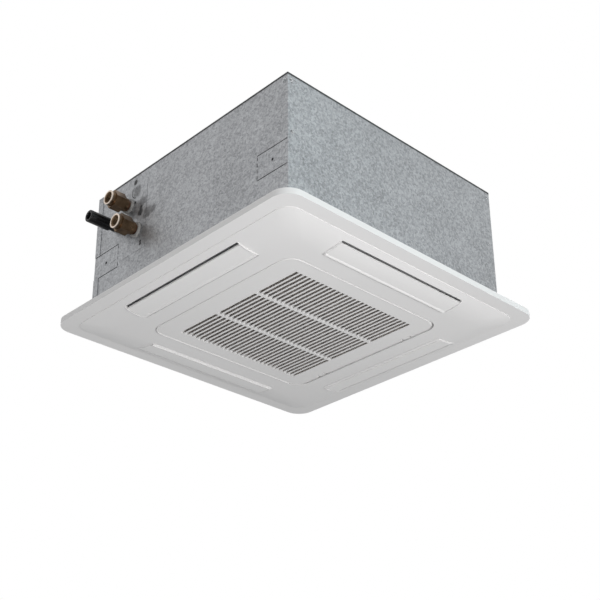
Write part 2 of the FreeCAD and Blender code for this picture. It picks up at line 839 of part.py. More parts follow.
# Insulation, pan and coil
def make_liner():
    """Foam lining on the walls and lid, open round the motor mount and at the pipes."""
    shell = block(both("rim_in"), both("rim_in"), ("pan_top", "liner_top"))
    hollow = block(both("rim_in - liner_wall"), both("rim_in - liner_wall"),
                   ("pan_top - overrun", "liner_low"))
    motor_hole = rod("mount_reach + bush_radius + seat_gap", ("0", "0", "liner_low - overrun"),
                     "liner_wall + 2 * overrun")
    pipes = pipe_opening(("-rim_in - overrun", "-rim_in + liner_wall + overrun"))
    cable = rod("grommet_radius", ("grommet_offset", "rim_in - liner_wall - overrun",
                                   "casing_low + grommet_rise"), "liner_wall + 2 * overrun", "y")
    keep(cut(shell, hollow, motor_hole, pipes, cable), "insulation_liner")


def strap_block(gap, z):
    """A strap from a casing corner towards the panel's tab, before it is turned to its diagonal."""
    far = "(rim_in - strap_width / 2) * sqrt(2) - strap_width / 4"
    near = "tab_place * sqrt(2) - strap_width / 2"
    return block((f"{near} - {gap}", f"{far} + {gap}"), both(f"strap_width / 2 + {gap}"), z)


def strap_seats():
    """Cuts for the corner straps and the tips of the screws that they carry."""
    cuts = []
    for corner in range(SIDES):
        seat_cut = strap_block("seat_gap", ("pan_low - overrun", "pan_low + strap_wall"))
        tip = rod("screw_head_radius", ("tab_place * sqrt(2)", "0", "pan_low"), "strap_wall + screw_tip")
        cuts += [turned(piece, QUARTER * corner + DIAGONAL) for piece in (seat_cut, tip)]
    return cuts


def make_drain_pan():
    """The moulded pan: a trough under the coil, and seats for the inlet ring, the straps and the box."""
    pan = block(both("duct_in"), both("duct_in"), ("pan_low", "pan_top"))
    trough_z = ("trough_low", "pan_top + overrun")
    island_z = ("trough_low - overrun", "pan_top + 2 * overrun")
    narrow, wide = both("trough_in - coil_bend"), both("trough_in")
    islands = (block(narrow, wide, island_z), block(wide, narrow, island_z))
    cuts = [cut(block(both("trough_out"), both("trough_out"), trough_z), *islands)]
    cuts.append(rod("bell_radius + seat_gap", ("0", "0", "pan_low - overrun"), "pan_depth + 2 * overrun"))
    cuts.append(block(("box_in - seat_gap", "box_out + seat_gap"), both("box_length / 2 + seat_gap"),
                      ("pan_low - overrun", "box_top + seat_gap")))
    keep(cut(pan, *cuts, *strap_seats()), "drain_pan")


def make_duct_walls():
    """Foam walls and corner blocks that close the four air ducts round the pan."""
    z = ("pan_low", "pan_top")
    walls = four_sides("duct_half", ("duct_out", "rim_in"), z)
    corners = [cut(piece, *strap_seats()) for piece in corner_blocks("duct_in", "rim_in", "duct_half", z)]
    keep(group(*walls, *corners), "duct_walls")


def make_corner_straps():
    """Straps that carry the panel, on the casing's foot flanges."""
    names = ("rear_right", "rear_left", "front_left", "front_right")
    for corner, name in enumerate(names):
        bar = strap_block("0", ("pan_low", "pan_low + strap_wall"))
        hole = rod("screw_radius", ("tab_place * sqrt(2)", "0", "pan_low - overrun"),
                   "strap_wall + 2 * overrun")
        keep(turned(cut(bar, hole), QUARTER * corner + DIAGONAL), f"corner_strap_{name}")


def make_coil():
    """Fin pack bent round three corners of the fan, with an end plate at each end and return bends."""
    out_bend = "coil_bend + coil_depth"
    turn_out = f"coil_out - ({out_bend})"
    turn_in = "coil_in - coil_bend"
    body = body_of("fin_pack")
    outline = sketch_on(body, "XY_Plane", "trough_low")
    draw(outline, [
        ("-coil_end", "-coil_out"),
        (turn_out, "-coil_out", out_bend, -1),
        ("coil_out", f"-({turn_out})"),
        ("coil_out", turn_out, out_bend, -1),
        (turn_out, "coil_out"),
        (f"-({turn_out})", "coil_out", out_bend, -1),
        ("-coil_out", turn_out),
        ("-coil_out", "-coil_end"),
        ("-coil_in", "-coil_end"),
        ("-coil_in", turn_in, "coil_bend", 1),
        (f"-({turn_in})", "coil_in"),
        (turn_in, "coil_in", "coil_bend", 1),
        ("coil_in", turn_in),
        ("coil_in", f"-({turn_in})", "coil_bend", 1),
        (turn_in, "-coil_in"),
        ("-coil_end", "-coil_in"),
    ])
    pad(body, outline, "liner_low - trough_low")
    keep(body, "coil_fin_pack")
    across = span(-1, "coil_in", "coil_out")
    beyond = span(-1, "coil_end", "end_face")
    tall = ("trough_low", "liner_low")
    keep(block(beyond, across, tall), "coil_end_plate_front")
    keep(block(across, beyond, tall), "coil_end_plate_left")
    bends = []
    for index in range(RETURN_BENDS):
        z = f"trough_low + (liner_low - trough_low) * {index + 0.5} / {RETURN_BENDS}"
        section = document.addObject("Part::RegularPolygon", "section")
        section.Polygon = BEND_FACES
        section.Placement = FreeCAD.Placement(FreeCAD.Vector(), FreeCAD.Rotation(X, QUARTER))
        bind(section, Circumradius="feeder_radius")
        seat(section, "-outer_row", "-end_face", z)
        bend = document.addObject("Part::Revolution", "bend")
        bend.Source = section
        bend.Axis = Z
        bend.Angle = HALF
        bend.Solid = True
        bend.setExpression("Base.x", formula("-(outer_row + inner_row) / 2"))
        bend.setExpression("Base.y", formula("-end_face"))
        bends.append(bend)
    keep(group(*bends), "coil_return_bends")


# Fan
BELL_SHARES = (1.0, 0.8, 0.5, 0.0)


def make_inlet_ring():
    """The bell mouth that leads the air from the pan's opening into the fan."""
    body = body_of("bell_mouth")
    outline = sketch_on(body, "XZ_Plane")
    outside = [
        (f"throat_radius + bell_wall + (bell_radius - throat_radius - bell_wall) * {share ** 2}",
         f"pan_low + bell_flare - (bell_flare - bell_rim) * {share}")
        for share in BELL_SHARES
    ]
    inside = [
        (f"throat_radius + (bell_radius - throat_radius) * {share ** 2}",
         f"pan_low + bell_flare - bell_flare * {share}")
        for share in BELL_SHARES
    ]
    ends = [("throat_radius + bell_wall", "bell_top"), ("throat_radius", "bell_top")]
    draw(outline, [*outside, *ends, *reversed(inside)])
    revolve(body, outline)
    keep(body, "inlet_ring")


def make_impeller():
    """Backward-curved fan wheel: hub plate, blades and the shroud with its inlet collar."""
    body = body_of("fan_wheel")
    hub = sketch_on(body, "XZ_Plane")
    draw(hub, [
        ("shaft_radius", "hub_low"),
        ("hub_radius", "hub_low"),
        ("hub_radius", "fan_top - fan_wall"),
        ("fan_radius", "fan_top - fan_wall"),
        ("fan_radius", "fan_top"),
        ("shaft_radius", "fan_top"),
    ])
    revolve(body, hub)
    deck = "fan_low + fan_collar + shroud_rise"
    blade = sketch_on(body, "XY_Plane", deck)
    root, tip_x, tip_y = (f"fan_radius * {name}" for name in (
        "blade_root_share", "blade_tip_x_share", "-blade_tip_y_share"))
    curve = "fan_radius * blade_curve_share"
    draw(blade, [
        (root, "0", curve, 1),
        (tip_x, tip_y),
        (f"{tip_x} + blade_wall", tip_y, f"{curve} + blade_wall", -1),
        (f"{root} + blade_wall", "blade_wall"),
    ])
    first = pad(body, blade, f"fan_top - fan_wall / 2 - ({deck})")
    circle = body.newObject("PartDesign::PolarPattern", "blades")
    circle.Originals = [first]
    circle.Axis = (blade, ["N_Axis"])
    circle.Occurrences = BLADES
    body.Tip = circle
    shroud = sketch_on(body, "XZ_Plane")
    draw(shroud, [
        ("fan_inlet", "fan_low"),
        ("fan_inlet + fan_wall", "fan_low"),
        ("fan_inlet + fan_wall", "fan_low + fan_collar"),
        ("fan_radius", deck),
        ("fan_radius", f"{deck} + fan_wall"),
        ("fan_inlet", "fan_low + fan_collar + shroud_rise + fan_wall"),
    ])
    body.Tip = revolve(body, shroud)
    keep(body, "impeller")


def make_motor():
    """Motor hung from the lid on rubber bushes, with the shaft that carries the fan."""
    body = body_of("motor_shell")
    outline = sketch_on(body, "XZ_Plane")
    shaft_bore = "shaft_radius + run_gap"
    draw(outline, [
        (shaft_bore, "motor_low"),
        ("motor_end_radius", "motor_low"),
        ("motor_radius", "motor_low + motor_end_height"),
        ("motor_radius", "motor_top"),
        ("0", "motor_top"),
        ("0", "motor_low + shaft_grip"),
        (shaft_bore, "motor_low + shaft_grip"),
    ])
    revolve(body, outline)
    keep(body, "fan_motor")
    shaft_low = "hub_low - nut_height"
    shaft = rod("shaft_radius", ("0", "0", shaft_low), f"motor_low + shaft_grip - seat_gap - ({shaft_low})")
    keep(shaft, "fan_shaft")
    nut = hexagon("nut_flats", ("0", "0", shaft_low), "nut_height")
    bore = rod("shaft_radius", ("0", "0", f"{shaft_low} - overrun"), "nut_height + 2 * overrun")
    keep(cut(nut, bore), "hub_nut")
    disc = rod("motor_radius", ("0", "0", "motor_top"), "mount_wall")
    arms, bushes = [], []
    for index in range(BUSHES):
        angle = index * 2 * HALF / BUSHES
        arm = block(("0", "mount_reach + mount_arm / 2"), both("mount_arm / 2"), ("motor_top", "mount_top"))
        arms.append(turned(arm, angle))
        bush = rod("bush_radius", ("mount_reach", "0", "mount_top"), "bush_height")
        bushes.append(turned(bush, angle))
    keep(fuse(disc, *arms), "motor_mount")
    keep(group(*bushes), "motor_bushes")


# Controls
def make_controls():
    """Control box in the pan beside the inlet ring, its cover and contents, and the cable grommet."""
    x, y = ("box_in", "box_out"), both("box_length / 2")
    shell = block(x, y, ("box_low", "box_top"))
    hollow = block(("box_in + box_wall", "box_out - box_wall"), both("box_length / 2 - box_wall"),
                   ("box_low - overrun", "box_top - box_wall"))
    keep(cut(shell, hollow), "control_box")
    keep(block(x, y, ("box_low - box_wall", "box_low")), "control_box_cover")
    roof = "box_top - box_wall"
    middle = "(box_in + box_out) / 2"
    length = f"{TERMINALS} * terminal_width"
    base_y = ("-box_length / 2 + box_margin", f"-box_length / 2 + box_margin + {length}")
    base = block((f"{middle} - terminal_depth / 2", f"{middle} + terminal_depth / 2"), base_y,
                 (f"{roof} - terminal_height / 2", roof))
    rails = []
    for index in range(TERMINALS):
        low = f"-box_length / 2 + box_margin + {index} * terminal_width"
        rails.append(block((f"{middle} - terminal_depth / 4", f"{middle} + terminal_depth / 4"),
                           (f"{low} + terminal_width / 8", f"{low} + terminal_width * 7 / 8"),
                           (f"{roof} - terminal_height", f"{roof} - terminal_height / 2")))
    keep(fuse(base, *rails), "terminal_block")
    can_place = (middle, "box_length / 2 - box_margin - capacitor_length", f"{roof} - capacitor_radius")
    keep(rod("capacitor_radius", can_place, "capacitor_length", "y"), "capacitor")
    z = "casing_low + grommet_rise"
    place = "grommet_offset"
    neck = rod("grommet_radius", (place, "sheet_in", z), "sheet_wall", "y")
    lip = rod("grommet_radius + grommet_lip", (place, "casing_half", z), "grommet_lip", "y")
    bore = rod("grommet_bore", (place, "sheet_in - overrun", z), "sheet_wall + grommet_lip + 2 * overrun",
               "y")
    keep(cut(fuse(neck, lip), bore), "cable_grommet")


# Panel
def shoulder_section(body, share, half, low, run, rise, corner):
    """One level of the convex shoulder: a share of its run outwards and that share squared of its rise."""
    sketch = sketch_on(body, "XY_Plane", f"{low} + {rise} * {share ** 2}")
    draw(sketch, rounded_square(f"{half} + {run} * {share}", corner))
    return sketch


SHOULDER_SHARES = (1.0, 0.8, 0.55, 0.3, 0.0)
HIDDEN_SHARES = (1.0, 0.6, 0.3, 0.0)


def loft(body, kind, sections, ruled=False):
    """Join level outlines, smoothly or with straight walls."""
    feature = body.newObject(kind, "loft")
    feature.Profile = sections[0]
    feature.Sections = sections[1:]
    feature.Ruled = ruled
    return feature


def panel_shell():
    """The moulded panel: rim, flat lip, stepped convex shoulder, plateau, openings and inner wall."""
    body = body_of("panel_shell")
    rim = sketch_on(body, "XY_Plane", "lip_z")
    draw(rim, rounded_square("panel_half", "panel_corner"))
    pad(body, rim, "lip_drop")
    step = sketch_on(body, "XY_Plane", "lip_z - step_height")
    draw(step, rounded_square("step_half", "step_corner"))
    pad(body, step, "step_height")
    outer = [
        shoulder_section(body, share, "plateau_half", "plateau_z", "shoulder_run", "shoulder_drop",
                         "step_corner")
        for share in SHOULDER_SHARES
    ]
    loft(body, "PartDesign::AdditiveLoft", outer)
    well = sketch_on(body, "XY_Plane", "lip_z + panel_wall")
    draw(well, rounded_square("panel_half - panel_wall", "(panel_corner - panel_wall)"))
    pocket(body, well, "lip_drop")
    inner = [
        shoulder_section(body, share, "plateau_half", "plateau_z + panel_wall",
                         "(shoulder_run - panel_wall)", "(panel_drop - lip_drop)", "step_corner")
        for share in HIDDEN_SHARES
    ]
    loft(body, "PartDesign::SubtractiveLoft", inner, ruled=True)
    wall = sketch_on(body, "XY_Plane", "plateau_z")
    draw(wall, rounded_square("wall_out", "(grille_corner + grille_gap + panel_wall)"))
    pad(body, wall, "panel_drop + wall_rise")
    holes = sketch_on(body, "XY_Plane", "plateau_z - overrun")
    draw(holes, rounded_square("opening_half", "(grille_corner + grille_gap)"))
    for sign in (-1, 1):
        out = span(sign, "vane_hole_in", "vane_hole_out")
        draw(holes, rectangle(both("duct_half"), out), rectangle(out, both("duct_half")))
    pocket(body, holes, "panel_drop + wall_rise + 2 * overrun")
    return body


def make_panel_frame():
    """The panel with its screw tabs, vane lugs and hinge ears."""
    pieces = [panel_shell()]
    cuts = []
    bore = "vane_pin_radius + run_gap"
    lug_z = ("plateau_z + panel_wall / 2", "plateau_z + panel_wall / 2 + vane_lug_height")
    lug_out = ("vane_hole_in - panel_wall", "vane_pivot + 3 * vane_pin_radius")
    for sign in (-1, 1):
        for end in (-1, 1):
            lug = span(end, "duct_half", "duct_half + vane_lug_wall")
            out = span(sign, *lug_out)
            pieces += [block(lug, out, lug_z), block(out, lug, lug_z)]
            tab = (span(sign, "tab_place - tab_reach", "wall_out"),
                   span(end, "tab_place - tab_reach", "wall_out"))
            pieces.append(block(*tab, ("wall_rise - panel_wall", "wall_rise")))
            place = (f"{sign} * tab_place", f"{end} * tab_place")
            pieces.append(rod("boss_radius", (*place, "wall_rise"), "pan_low - wall_rise"))
            hole_foot = (*place, "wall_rise - panel_wall - overrun")
            cuts.append(rod("screw_radius + run_gap", hole_foot,
                            "pan_low - wall_rise + panel_wall + 2 * overrun"))
            inner = "hinge_half + hinge_side_gap"
            ear_x = (f"{sign} * hinge_x + {end} * ({inner})",
                     f"{sign} * hinge_x + {end} * ({inner} + hinge_ear_wall)")
            ear_x = ear_x if end > 0 else ear_x[::-1]
            ear_y = ("hinge_y - hinge_ear_radius", "hinge_y + hinge_ear_radius")
            arm_z = ("hinge_z + hinge_inset + hinge_side_gap", "0")
            pieces.append(block(ear_x, (ear_y[0], "opening_half + panel_wall / 2"), arm_z))
            pieces.append(block(ear_x, ear_y, ("hinge_z", "0")))
            pieces.append(rod("hinge_ear_radius", (ear_x[0], "hinge_y", "hinge_z"), "hinge_ear_wall", "x"))
        pivot = f"{sign} * vane_pivot"
        reach = "duct_half + vane_lug_wall + overrun"
        cuts.append(rod(bore, (f"-({reach})", pivot, "vane_pivot_z"), f"2 * ({reach})", "x"))
        cuts.append(rod(bore, (pivot, f"-({reach})", "vane_pivot_z"), f"2 * ({reach})", "y"))
        pin_foot = f"{sign} * hinge_x - hinge_half - hinge_side_gap - hinge_ear_wall - overrun"
        pin_length = "hinge_lug_width + 2 * (hinge_side_gap + hinge_ear_wall + overrun)"
        cuts.append(rod("hinge_radius", (pin_foot, "hinge_y", "hinge_z"), pin_length, "x"))
    keep(cut(fuse(*pieces), *cuts), "panel_frame")


def make_panel_fittings():
    """Screws, hinge pins and catch sockets fixed in the panel."""
    screws, pins, sockets = [], [], []
    head_low = "wall_rise - panel_wall - screw_head_height"
    for sign in (-1, 1):
        for end in (-1, 1):
            place = (f"{sign} * tab_place", f"{end} * tab_place")
            head = rod("screw_head_radius", (*place, head_low), "screw_head_height")
            shank = rod("screw_radius", (*place, head_low),
                        f"pan_low + strap_wall + screw_tip - seat_gap - ({head_low})")
            screws.append(fuse(head, shank))
        reach = "hinge_half + hinge_side_gap + hinge_ear_wall"
        pin_foot = (f"{sign} * hinge_x - ({reach})", "hinge_y", "hinge_z")
        pins.append(rod("hinge_radius", pin_foot, f"2 * ({reach})", "x"))
        x = (f"{sign} * hinge_x - catch_width / 2 - catch_gap - socket_wall",
             f"{sign} * hinge_x + catch_width / 2 + catch_gap + socket_wall")
        y_in = "catch_y - catch_wall / 2 - catch_gap - socket_wall"
        z = ("plateau_z + grille_rim + catch_gap", "wall_rise")
        cup = block(x, (f"-opening_half", f"-({y_in})"), z)
        well = block((f"{x[0]} + socket_wall", f"{x[1]} - socket_wall"),
                     (f"-(catch_y + catch_wall / 2 + catch_gap)", f"-({y_in} + socket_wall)"),
                     (f"{z[0]} - overrun", f"{z[1]} + overrun"))
        sockets.append(cut(cup, well))
    keep(group(*screws), "panel_screws")
    keep(group(*pins), "grille_hinge_pins")
    keep(group(*sockets), "catch_sockets")


def make_backing():
    """Foam bars that carry the air from the ducts to the vanes, and the gasket against the casing."""
    inner = "wall_out + backing_gap"
    low = "lip_z + panel_wall"
    bar_z = ("plateau_z + panel_wall", "pan_low - seat_gap")
    bars = []
    for sign in (-1, 1):
        bars.append(block(both("backing_in"), span(sign, inner, "backing_in"), bar_z))
        bars.append(block(span(sign, inner, "backing_in"), both(inner), bar_z))
    roofs = four_sides("duct_half", ("duct_out", "backing_out"), (f"{low} + mouth_depth", "0"))
    feet = four_sides("duct_half", ("vane_hole_out", "backing_out"), (low, f"{low} + mouth_depth"))
    outer = [fuse(roof, foot) for roof, foot in zip(roofs, feet)]
    corners = corner_blocks("backing_in", "panel_half - panel_corner", "duct_half", (low, "0"))
    keep(group(*bars, *outer, *corners), "panel_backing")
    gasket_in = "rim_in - overrun - gasket_width"
    keep(ring("rim_in - overrun", gasket_in, ("0", "casing_low")), "panel_gasket")


def make_vanes():
    """Four louvre vanes: a curved blade, proud of the shoulder, with a round bead and a pin at each end."""
    names = ("front", "right", "rear", "left")
    for index, name in enumerate(names):
        body = body_of(f"vane_{name}")
        profile = sketch_on(body, "YZ_Plane", "-vane_half")
        pivot = "-vane_pivot"
        draw(profile, [
            (pivot, "plateau_z - vane_proud", "shoulder_radius", 1),
            ("-vane_out", "vane_out_z"),
            ("-vane_out", "vane_out_z + vane_wall", "shoulder_radius - vane_wall", -1),
            ("-vane_pivot - vane_bead", "bead_z", "vane_bead", 1),
            (pivot, "bead_z + vane_bead", "vane_bead", 1),
            ("-vane_in", "bead_z", "vane_bead", 1),
        ])
        pad(body, profile, "vane_length")
        pin = sketch_on(body, "YZ_Plane", "-vane_half - vane_lug_wall - vane_end_gap")
        draw_circle(pin, pivot, "vane_pivot_z", "vane_pin_radius")
        pad(body, pin, "vane_length + 2 * (vane_lug_wall + vane_end_gap)")
        body.Placement = FreeCAD.Placement(FreeCAD.Vector(), FreeCAD.Rotation(Z, QUARTER * index))
        keep(body, f"vane_{name}")


# Intake grille
def grille_shell():
    """The grille's bevelled plate, rim and leaning slats."""
    body = body_of("grille_shell")
    levels = []
    for level, half, corner in (
        ("plateau_z", "grille_half - grille_edge", "(grille_corner - grille_edge)"),
        ("plateau_z + grille_wall", "grille_half", "grille_corner"),
    ):
        levels.append(sketch_on(body, "XY_Plane", level))
        draw(levels[-1], rounded_square(half, corner))
    loft(body, "PartDesign::AdditiveLoft", levels, ruled=True)
    rim = sketch_on(body, "XY_Plane", "plateau_z + grille_wall")
    draw(rim, rounded_square("grille_half", "grille_corner"),
         rounded_square("grille_half - grille_wall", "(grille_corner - grille_wall)"))
    pad(body, rim, "grille_rim - grille_wall")
    slats = sketch_on(body, "XY_Plane", "plateau_z")
    far = "slat_half_y + grille_wall + slat_depth * slat_lean_share"
    draw(slats, rectangle(both("slat_half_x + grille_wall"), ("-slat_half_y - grille_wall", far)))
    pad(body, slats, "slat_depth")
    slots = sketch_on(body, "XY_Plane", "plateau_z - overrun")
    low = "-slat_half_y + (slot_pitch - slot_width) / 2"
    for band in range(SLOT_BANDS):
        left = f"-slat_half_x + {band} * (band_width + cross_rib)"
        draw(slots, rectangle((left, f"{left} + band_width"), (low, f"{low} + slot_width")))
    first = pocket(body, slots, "slat_depth + 2 * overrun", up=False)
    first.UseCustomVector = True
    first.Direction = Z
    bind(first, **{"Direction.y": "slat_lean_share"})
    rows = body.newObject("PartDesign::LinearPattern", "slots")
    rows.Originals = [first]
    rows.Direction = (slots, ["V_Axis"])
    rows.Occurrences = SLOT_ROWS
    bind(rows, Length=f"slot_pitch * {SLOT_ROWS - 1}")
    body.Tip = rows
    return body


def make_grille():
    """Intake grille with hinge lugs, notches for the panel's hinge ears, and catch prongs."""
    pieces, cuts = [grille_shell()], []
    deck = "plateau_z + grille_wall / 2"
    notch_half = "hinge_half + hinge_side_gap + hinge_ear_wall + hinge_notch_gap"
    for sign in (-1, 1):
        middle = f"{sign} * hinge_x"
        across = (f"{middle} - hinge_half", f"{middle} + hinge_half")
        lug_y = ("hinge_y - hinge_bore - hinge_lug_wall", "hinge_y + hinge_bore + hinge_lug_wall")
        lug = block(across, lug_y, (deck, "hinge_z + hinge_bore + hinge_lug_wall"))
        prong = block((f"{middle} - catch_width / 2", f"{middle} + catch_width / 2"),
                      ("-catch_y - catch_wall / 2", "-catch_y + catch_wall / 2"), (deck, "catch_top"))
        pieces += [lug, prong]
        bore_foot = (f"{middle} - hinge_half - overrun", "hinge_y", "hinge_z")
        cuts.append(rod("hinge_bore", bore_foot, "hinge_lug_width + 2 * overrun", "x"))
        for end in (-1, 1):
            for far, y_low, z_low in (
                (notch_half, "grille_half - 2 * grille_wall", "plateau_z + grille_wall"),
                ("hinge_half + 2 * hinge_side_gap + hinge_ear_wall",
                 "hinge_y - hinge_ear_radius - hinge_side_gap", "plateau_z - overrun"),
            ):
                notch_x = (f"{middle} + {end} * hinge_half", f"{middle} + {end} * ({far})")
                cuts.append(block(notch_x if end > 0 else notch_x[::-1],
                                  (y_low, "grille_half + overrun"),
                                  (z_low, "plateau_z + grille_rim + overrun")))
        top_z = ("hinge_z + hinge_bore + hinge_lug_wall", "plateau_z + grille_rim + overrun")
        cuts.append(block(across, ("grille_half - 2 * grille_wall", "grille_half + overrun"), top_z))
    keep(cut(fuse(*pieces), *cuts), "intake_grille")


def make_filter():
    """Air filter lying on the slats: a frame with ribs, and the net that they hold."""
    z = ("slat_top", "filter_top")
    x_half, y_half = "filter_half_x", "filter_half_y"
    frame = cut(block(both(x_half), both(y_half), z),
                block(both(f"{x_half} - filter_bar"), both(f"{y_half} - filter_bar"),
                      (f"{z[0]} - overrun", f"{z[1]} + overrun")))
    net_low = "slat_top + filter_height / 2"
    rib_z = ("slat_top", net_low)
    ribs = []
    for index in range(1, FILTER_RIBS):
        step = f"2 * {index} / {FILTER_RIBS} - 1"
        place = f"({step}) * ({x_half} - filter_bar)"
        ribs.append(block((f"{place} - filter_rib / 2", f"{place} + filter_rib / 2"),
                          both(f"{y_half} - filter_bar"), rib_z))
        place = f"({step}) * ({y_half} - filter_bar)"
        ribs.append(block(both(f"{x_half} - filter_bar"),
                          (f"{place} - filter_rib / 2", f"{place} + filter_rib / 2"), rib_z))
    keep(fuse(frame, *ribs), "filter_frame")
    keep(block(both(f"{x_half} - filter_bar"), both(f"{y_half} - filter_bar"),
               (net_low, f"{net_low} + net_wall")), "filter_net")


def check():
    """Stop if any object failed or any finished piece is empty or unsound."""
    document.recompute()
    failed = [item.Label for item in document.Objects if {"Invalid", "Error"} & set(item.State)]
    if failed:
        raise RuntimeError(f"not built: {failed}")
    for item in parts:
        if item.Shape.isNull() or not item.Shape.isValid() or not item.Shape.Solids:
            raise RuntimeError(f"unsound piece: {item.Label}")


def write():
    """Write each finished piece to its own file."""
    os.makedirs("parts", exist_ok=True)
    for item in parts:
        item.Shape.exportStep(f"parts/{item.Label}.step")
        print(item.Label, len(item.Shape.Solids), round(item.Shape.Volume))


make_top_plate()
make_side_sheets()
make_hanger_brackets()
make_pipe_plate()
make_pipes()
make_drain()
make_liner()
make_drain_pan()
make_duct_walls()
make_corner_straps()
make_coil()
make_inlet_ring()
make_impeller()
make_motor()
make_controls()
make_panel_frame()
make_panel_fittings()
make_backing()
make_vanes()
make_grille()
make_filter()
check()
write()
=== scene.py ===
"""Looks of a ceiling cassette fan coil unit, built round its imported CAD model.

Metres, in the CAD frame: +Z up, the origin at the centre of the ceiling plane, pipes towards -Y.
"""
import logging
import math
from dataclasses import dataclass, field
from enum import Enum
from typing import Any, Callable, Iterable, Protocol

import bmesh
import bpy
from mathutils import Matrix, Vector, noise


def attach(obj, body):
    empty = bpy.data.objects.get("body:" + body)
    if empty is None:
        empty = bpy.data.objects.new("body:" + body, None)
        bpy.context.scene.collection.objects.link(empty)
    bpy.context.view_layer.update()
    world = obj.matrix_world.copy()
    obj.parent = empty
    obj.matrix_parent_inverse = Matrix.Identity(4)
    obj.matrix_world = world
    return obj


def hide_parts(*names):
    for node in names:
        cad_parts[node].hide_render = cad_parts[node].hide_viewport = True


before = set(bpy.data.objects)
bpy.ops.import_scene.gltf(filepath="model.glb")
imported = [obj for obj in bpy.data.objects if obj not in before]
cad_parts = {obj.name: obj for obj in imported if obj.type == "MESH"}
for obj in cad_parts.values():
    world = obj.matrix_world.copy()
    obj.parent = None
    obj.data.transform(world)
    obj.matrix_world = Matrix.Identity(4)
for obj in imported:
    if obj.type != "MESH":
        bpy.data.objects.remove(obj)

log = logging.getLogger("cassette")
Colour = tuple[float, float, float]
Point = tuple[float, float, float]
Ring = list[bmesh.types.BMVert]
SHARP_ANGLE = math.radians(35.0)
WHITE: Colour = (1.0, 1.0, 1.0)


class Facing(Enum):
    """Sides of the unit, each by the direction in which it looks out."""

    FRONT = (0.0, -1.0, 0.0)
    RIGHT = (1.0, 0.0, 0.0)
    REAR = (0.0, 1.0, 0.0)
    LEFT = (-1.0, 0.0, 0.0)

    def turn(self) -> Matrix:
        """The rotation that takes +Z to this direction."""
        return Vector(self.value).to_track_quat("Z", "Y").to_matrix().to_4x4()


class Axis(Enum):
    """Axes that a pattern of bands can cross."""

    X = "X"
    Y = "Y"
    Z = "Z"


class Body(Enum):
    """Rigid bodies that scene pieces ride on."""

    CASING = "casing"
    GRILLE = "grille"
    VANE_FRONT = "vane_front"
    VANE_RIGHT = "vane_right"
    VANE_REAR = "vane_rear"
    VANE_LEFT = "vane_left"


# Node sheets and finishes


@dataclass(frozen=True)
class Grain:
    """A soft noise: its features per metre and its octaves."""

    scale: float
    octaves: float = 4.0


